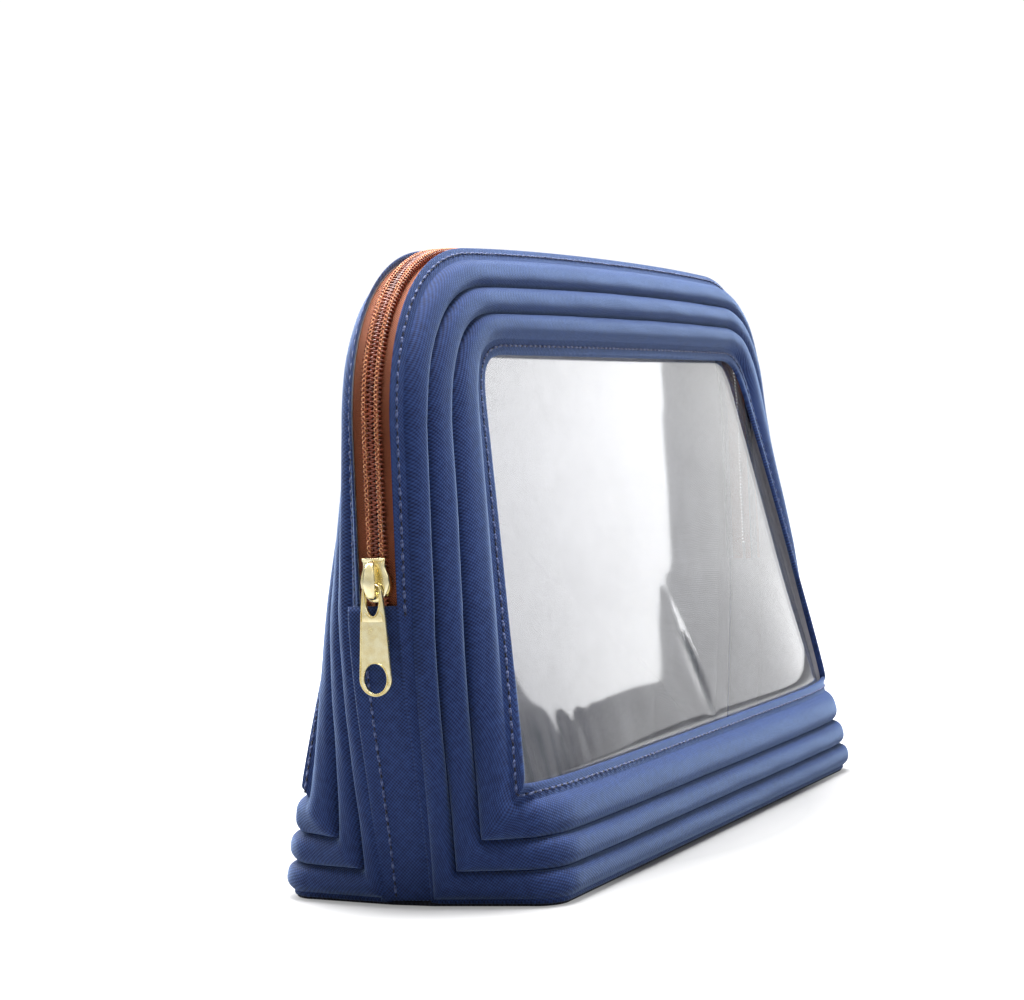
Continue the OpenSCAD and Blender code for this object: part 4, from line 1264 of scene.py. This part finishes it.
def pull():
    """Flat tab with a raised rim round its edge and both holes, and a sunk plain field between."""
    tip = TIP_R - TAB_LENGTH
    low = [(TIP_R * math.cos(t), tip + TIP_R * math.sin(t)) for t in np.linspace(0, -np.pi, 25)]
    top = [(2.72 * math.cos(t), -1.75 + 2.5 * math.sin(t)) for t in np.linspace(np.pi, 0, 17)]
    left = [(mix(-TIP_R, -3.3, t), mix(tip, -7.0, t)) for t in np.linspace(0, 1, 16)[1:]]
    left += [(mix(-3.3, -2.72, t), mix(-7.0, -1.75, t)) for t in np.linspace(0, 1, 8)[1:-1]]
    right = [(-y, z) for y, z in left[::-1]]
    outer = np.array(top + right + low + left)[::-1]
    eye_a = circle(32)
    eye = np.stack([1.85 * np.cos(eye_a), -2.0 + np.where(np.sin(eye_a) > 0, 1.6, 5.2) * np.sin(eye_a)], -1)
    hole = np.stack([2.95 * np.cos(eye_a), tip + 0.15 + 3.5 * np.sin(eye_a)], -1)
    profile = [(0.0, 0.25), (0.04, 0.45), (0.13, 0.57), (0.27, 0.57), (0.35, 0.42), (0.42, 0.3)]
    edges = [(outer, 1), (eye, -1), (hole, -1)]
    points, faces = [], []

    def add_ring(loop, h):
        points.append(np.column_stack([np.full(len(loop), h), loop]))
        return sum(len(p) for p in points[:-1])

    def bridge(one, two, n, flip):
        for k in range(n):
            k2 = (k + 1) % n
            quad = (one + k, one + k2, two + k2, two + k)
            faces.append(quad[::-1] if flip else quad)

    for sign in (1, -1):
        index, loops = [], []
        for loop, inward in edges:
            rings = [add_ring(offset(loop, d * inward), h * sign) for d, h in profile]
            for one, two in zip(rings, rings[1:]):
                bridge(one, two, len(loop), (sign < 0) != (inward < 0))
            index.append(rings[-1] + np.arange(len(loop)))
            loops.append(offset(loop, profile[-1][0] * inward))
        index, flat = np.concatenate(index), np.concatenate(loops)
        for tri in tessellate_polygon([[Vector((*p, 0)) for p in loop] for loop in loops]):
            one, two = flat[tri[1]] - flat[tri[0]], flat[tri[2]] - flat[tri[0]]
            area = one[0] * two[1] - two[0] * one[1]
            faces.append(index[list(tri)][::1 if (area > 0) == (sign > 0) else -1])
    start, total = 0, sum(len(p) for p in points) // 2
    for loop, inward in edges:
        bridge(start + total, start, len(loop), inward < 0)
        start += len(loop) * len(profile)
    shoulder = np.array([
        (-2.75, -8.6), (2.75, -8.6), (2.5, -6.9), (2.0, -6.3), (1.45, -7.0), (0.7, -7.65), (0, -7.8),
        (-0.7, -7.65), (-1.45, -7.0), (-2.0, -6.3), (-2.5, -6.9)])
    parts = [(np.concatenate(points), faces), plate(shoulder, [(0.0, -0.54), (0.0, 0.5), (0.08, 0.55)])]
    cast("pull_plate", [(p + [PIVOT_OUT, 0, PIVOT_UP], f) for p, f in parts], "pull_tab", "pull")


def stops():
    """Small bent-wire clamps round the coil ends."""
    box = smooth_loop([(-0.85, -0.75), (0.85, -0.75), (0.95, 0.0), (0.85, 0.75), (-0.85, 0.75),
                       (-0.95, 0.0)], 3)
    p, f = plate(box, [(0.25, -0.6), (0.05, -0.45), (0.0, 0.0), (0.05, 0.45), (0.25, 0.6)])
    middle = (STOP_LOW[2] + STOP_HIGH[2]) / 2
    points, faces = join([(p * [sx, 1, 1] + [sx * (REACH - 0.9), sy * 2.0, middle], [g[::-sx] for g in f])
                          for sx in (-1, 1) for sy in (-1, 1)])
    obj = add_mesh("zip_end_stops", points, faces, [COIL])
    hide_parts("zip_stops")
    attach(obj, "case")


slider()
crown()
pull()
stops()


# ---------------------------------------------------------------- floor, light and view
ROOM_LOW, ROOM_HIGH = 0.07, 0.26  # light from the level and from overhead
# what film and metal also mirror, from the right and from behind the camera
ROOM_SIDE, ROOM_SHINE = 1.6, 0.75
BACKDROP = 1.05
FLOOR_HALF = 15000  # mm


def make_floor():
    n = 40
    x, y = np.meshgrid(*2 * [np.linspace(-1, 1, n) * FLOOR_HALF], indexing="ij")
    points = np.stack([x, y, np.full_like(x, -0.05)], -1).reshape(-1, 3)
    add_mesh("floor", points, grid_faces(n, n)[:, ::-1], [pale_floor("pale_floor")])


def area_light(name, place, target, size, power):
    data = bpy.data.lights.new(name, "AREA")
    data.shape = "RECTANGLE"
    data.size, data.size_y = size
    data.energy = power
    light = bpy.data.objects.new(name, data)
    bpy.context.scene.collection.objects.link(light)
    light.location = place
    light.rotation_mode = "QUATERNION"
    light.rotation_quaternion = (Vector(target) - Vector(place)).to_track_quat("-Z", "Y")


def softbox(name, centre, target, corner, leans, size, level):
    """A lit panel out of the picture; its lower corner, seen from the target, is at corner in metres
    from the centre line, and leans are the angles of its lower and of its near edge."""
    look = (target - centre).normalized()
    right = -look.cross(Vector((0, 0, 1))).normalized()
    up = look.cross(right)
    a, b = (math.radians(v) for v in leans)
    along_edge, rise = right * math.cos(a) + up * math.sin(a), up * math.cos(b) - right * math.sin(b)
    start = centre + right * corner[0] + up * corner[1]
    n = 6
    t = np.linspace(0, 1, n)
    points = [start + along_edge * size[0] * u + rise * size[1] * v for u in t for v in t]
    p = paint(name + "_glow")
    cloth = p.fit(p.noise(p.place(), 2.0, 1.0), 0.3, 0.7, 0.97 * level, 1.03 * level)
    glow = p.finish(p.add("Emission", {"Color": (1, 1, 1, 1), "Strength": cloth}).outputs[0])
    add_mesh(name, np.array(points) / MM, grid_faces(n, n), [glow])


def make_light():
    middle = Vector((0, 0, 0.08))
    mirror_way = Vector((0.943, -0.318, 0.066)).normalized()
    softbox("right_softbox", middle + mirror_way * 1.5, middle, (0.098, -0.08), (18.5, 30), (0.9, 0.55), 3.2)
    area_light("back_softbox", (0.35, 0.9, 0.95), (0, 0, 0.12), (1.2, 0.7), 34)
    area_light("front_softbox", (-0.2, -1.6, 0.9), (0, 0, 0.1), (1.0, 0.8), 4)
    area_light("top_softbox", (0.1, -0.02, 1.4), (0, 0, 0.1), (1.0, 0.8), 60)


def make_room():
    """A world that is brighter overhead than at the sides, behind a white backdrop."""
    world = bpy.data.worlds.new("studio")
    bpy.context.scene.world = world
    p = Paint(world, "OutputWorld")
    x, _, z = p.add("SeparateXYZ", {0: p.add("TexCoord").outputs["Generated"]}).outputs
    rays = p.add("LightPath").outputs
    mirrored = p.plus(p.fit(x, 0.88, 0.99, 0.0, ROOM_SIDE), p.fit(x, 0.2, -0.5, 0.0, ROOM_SHINE))
    room = p.plus(p.fit(z, 0.0, 0.9, ROOM_LOW, ROOM_HIGH), p.times(mirrored, rays["Is Glossy Ray"]))
    level = p.add("Mix", {0: rays["Is Camera Ray"], 2: room, 3: BACKDROP}, data_type="FLOAT").outputs[0]
    p.finish(p.add("Background", {"Color": (1, 1, 1, 1), "Strength": level}).outputs[0])


make_floor()
make_light()
make_room()
bpy.context.scene.view_settings.view_transform = "Standard"
bpy.context.scene.view_settings.look = "None"
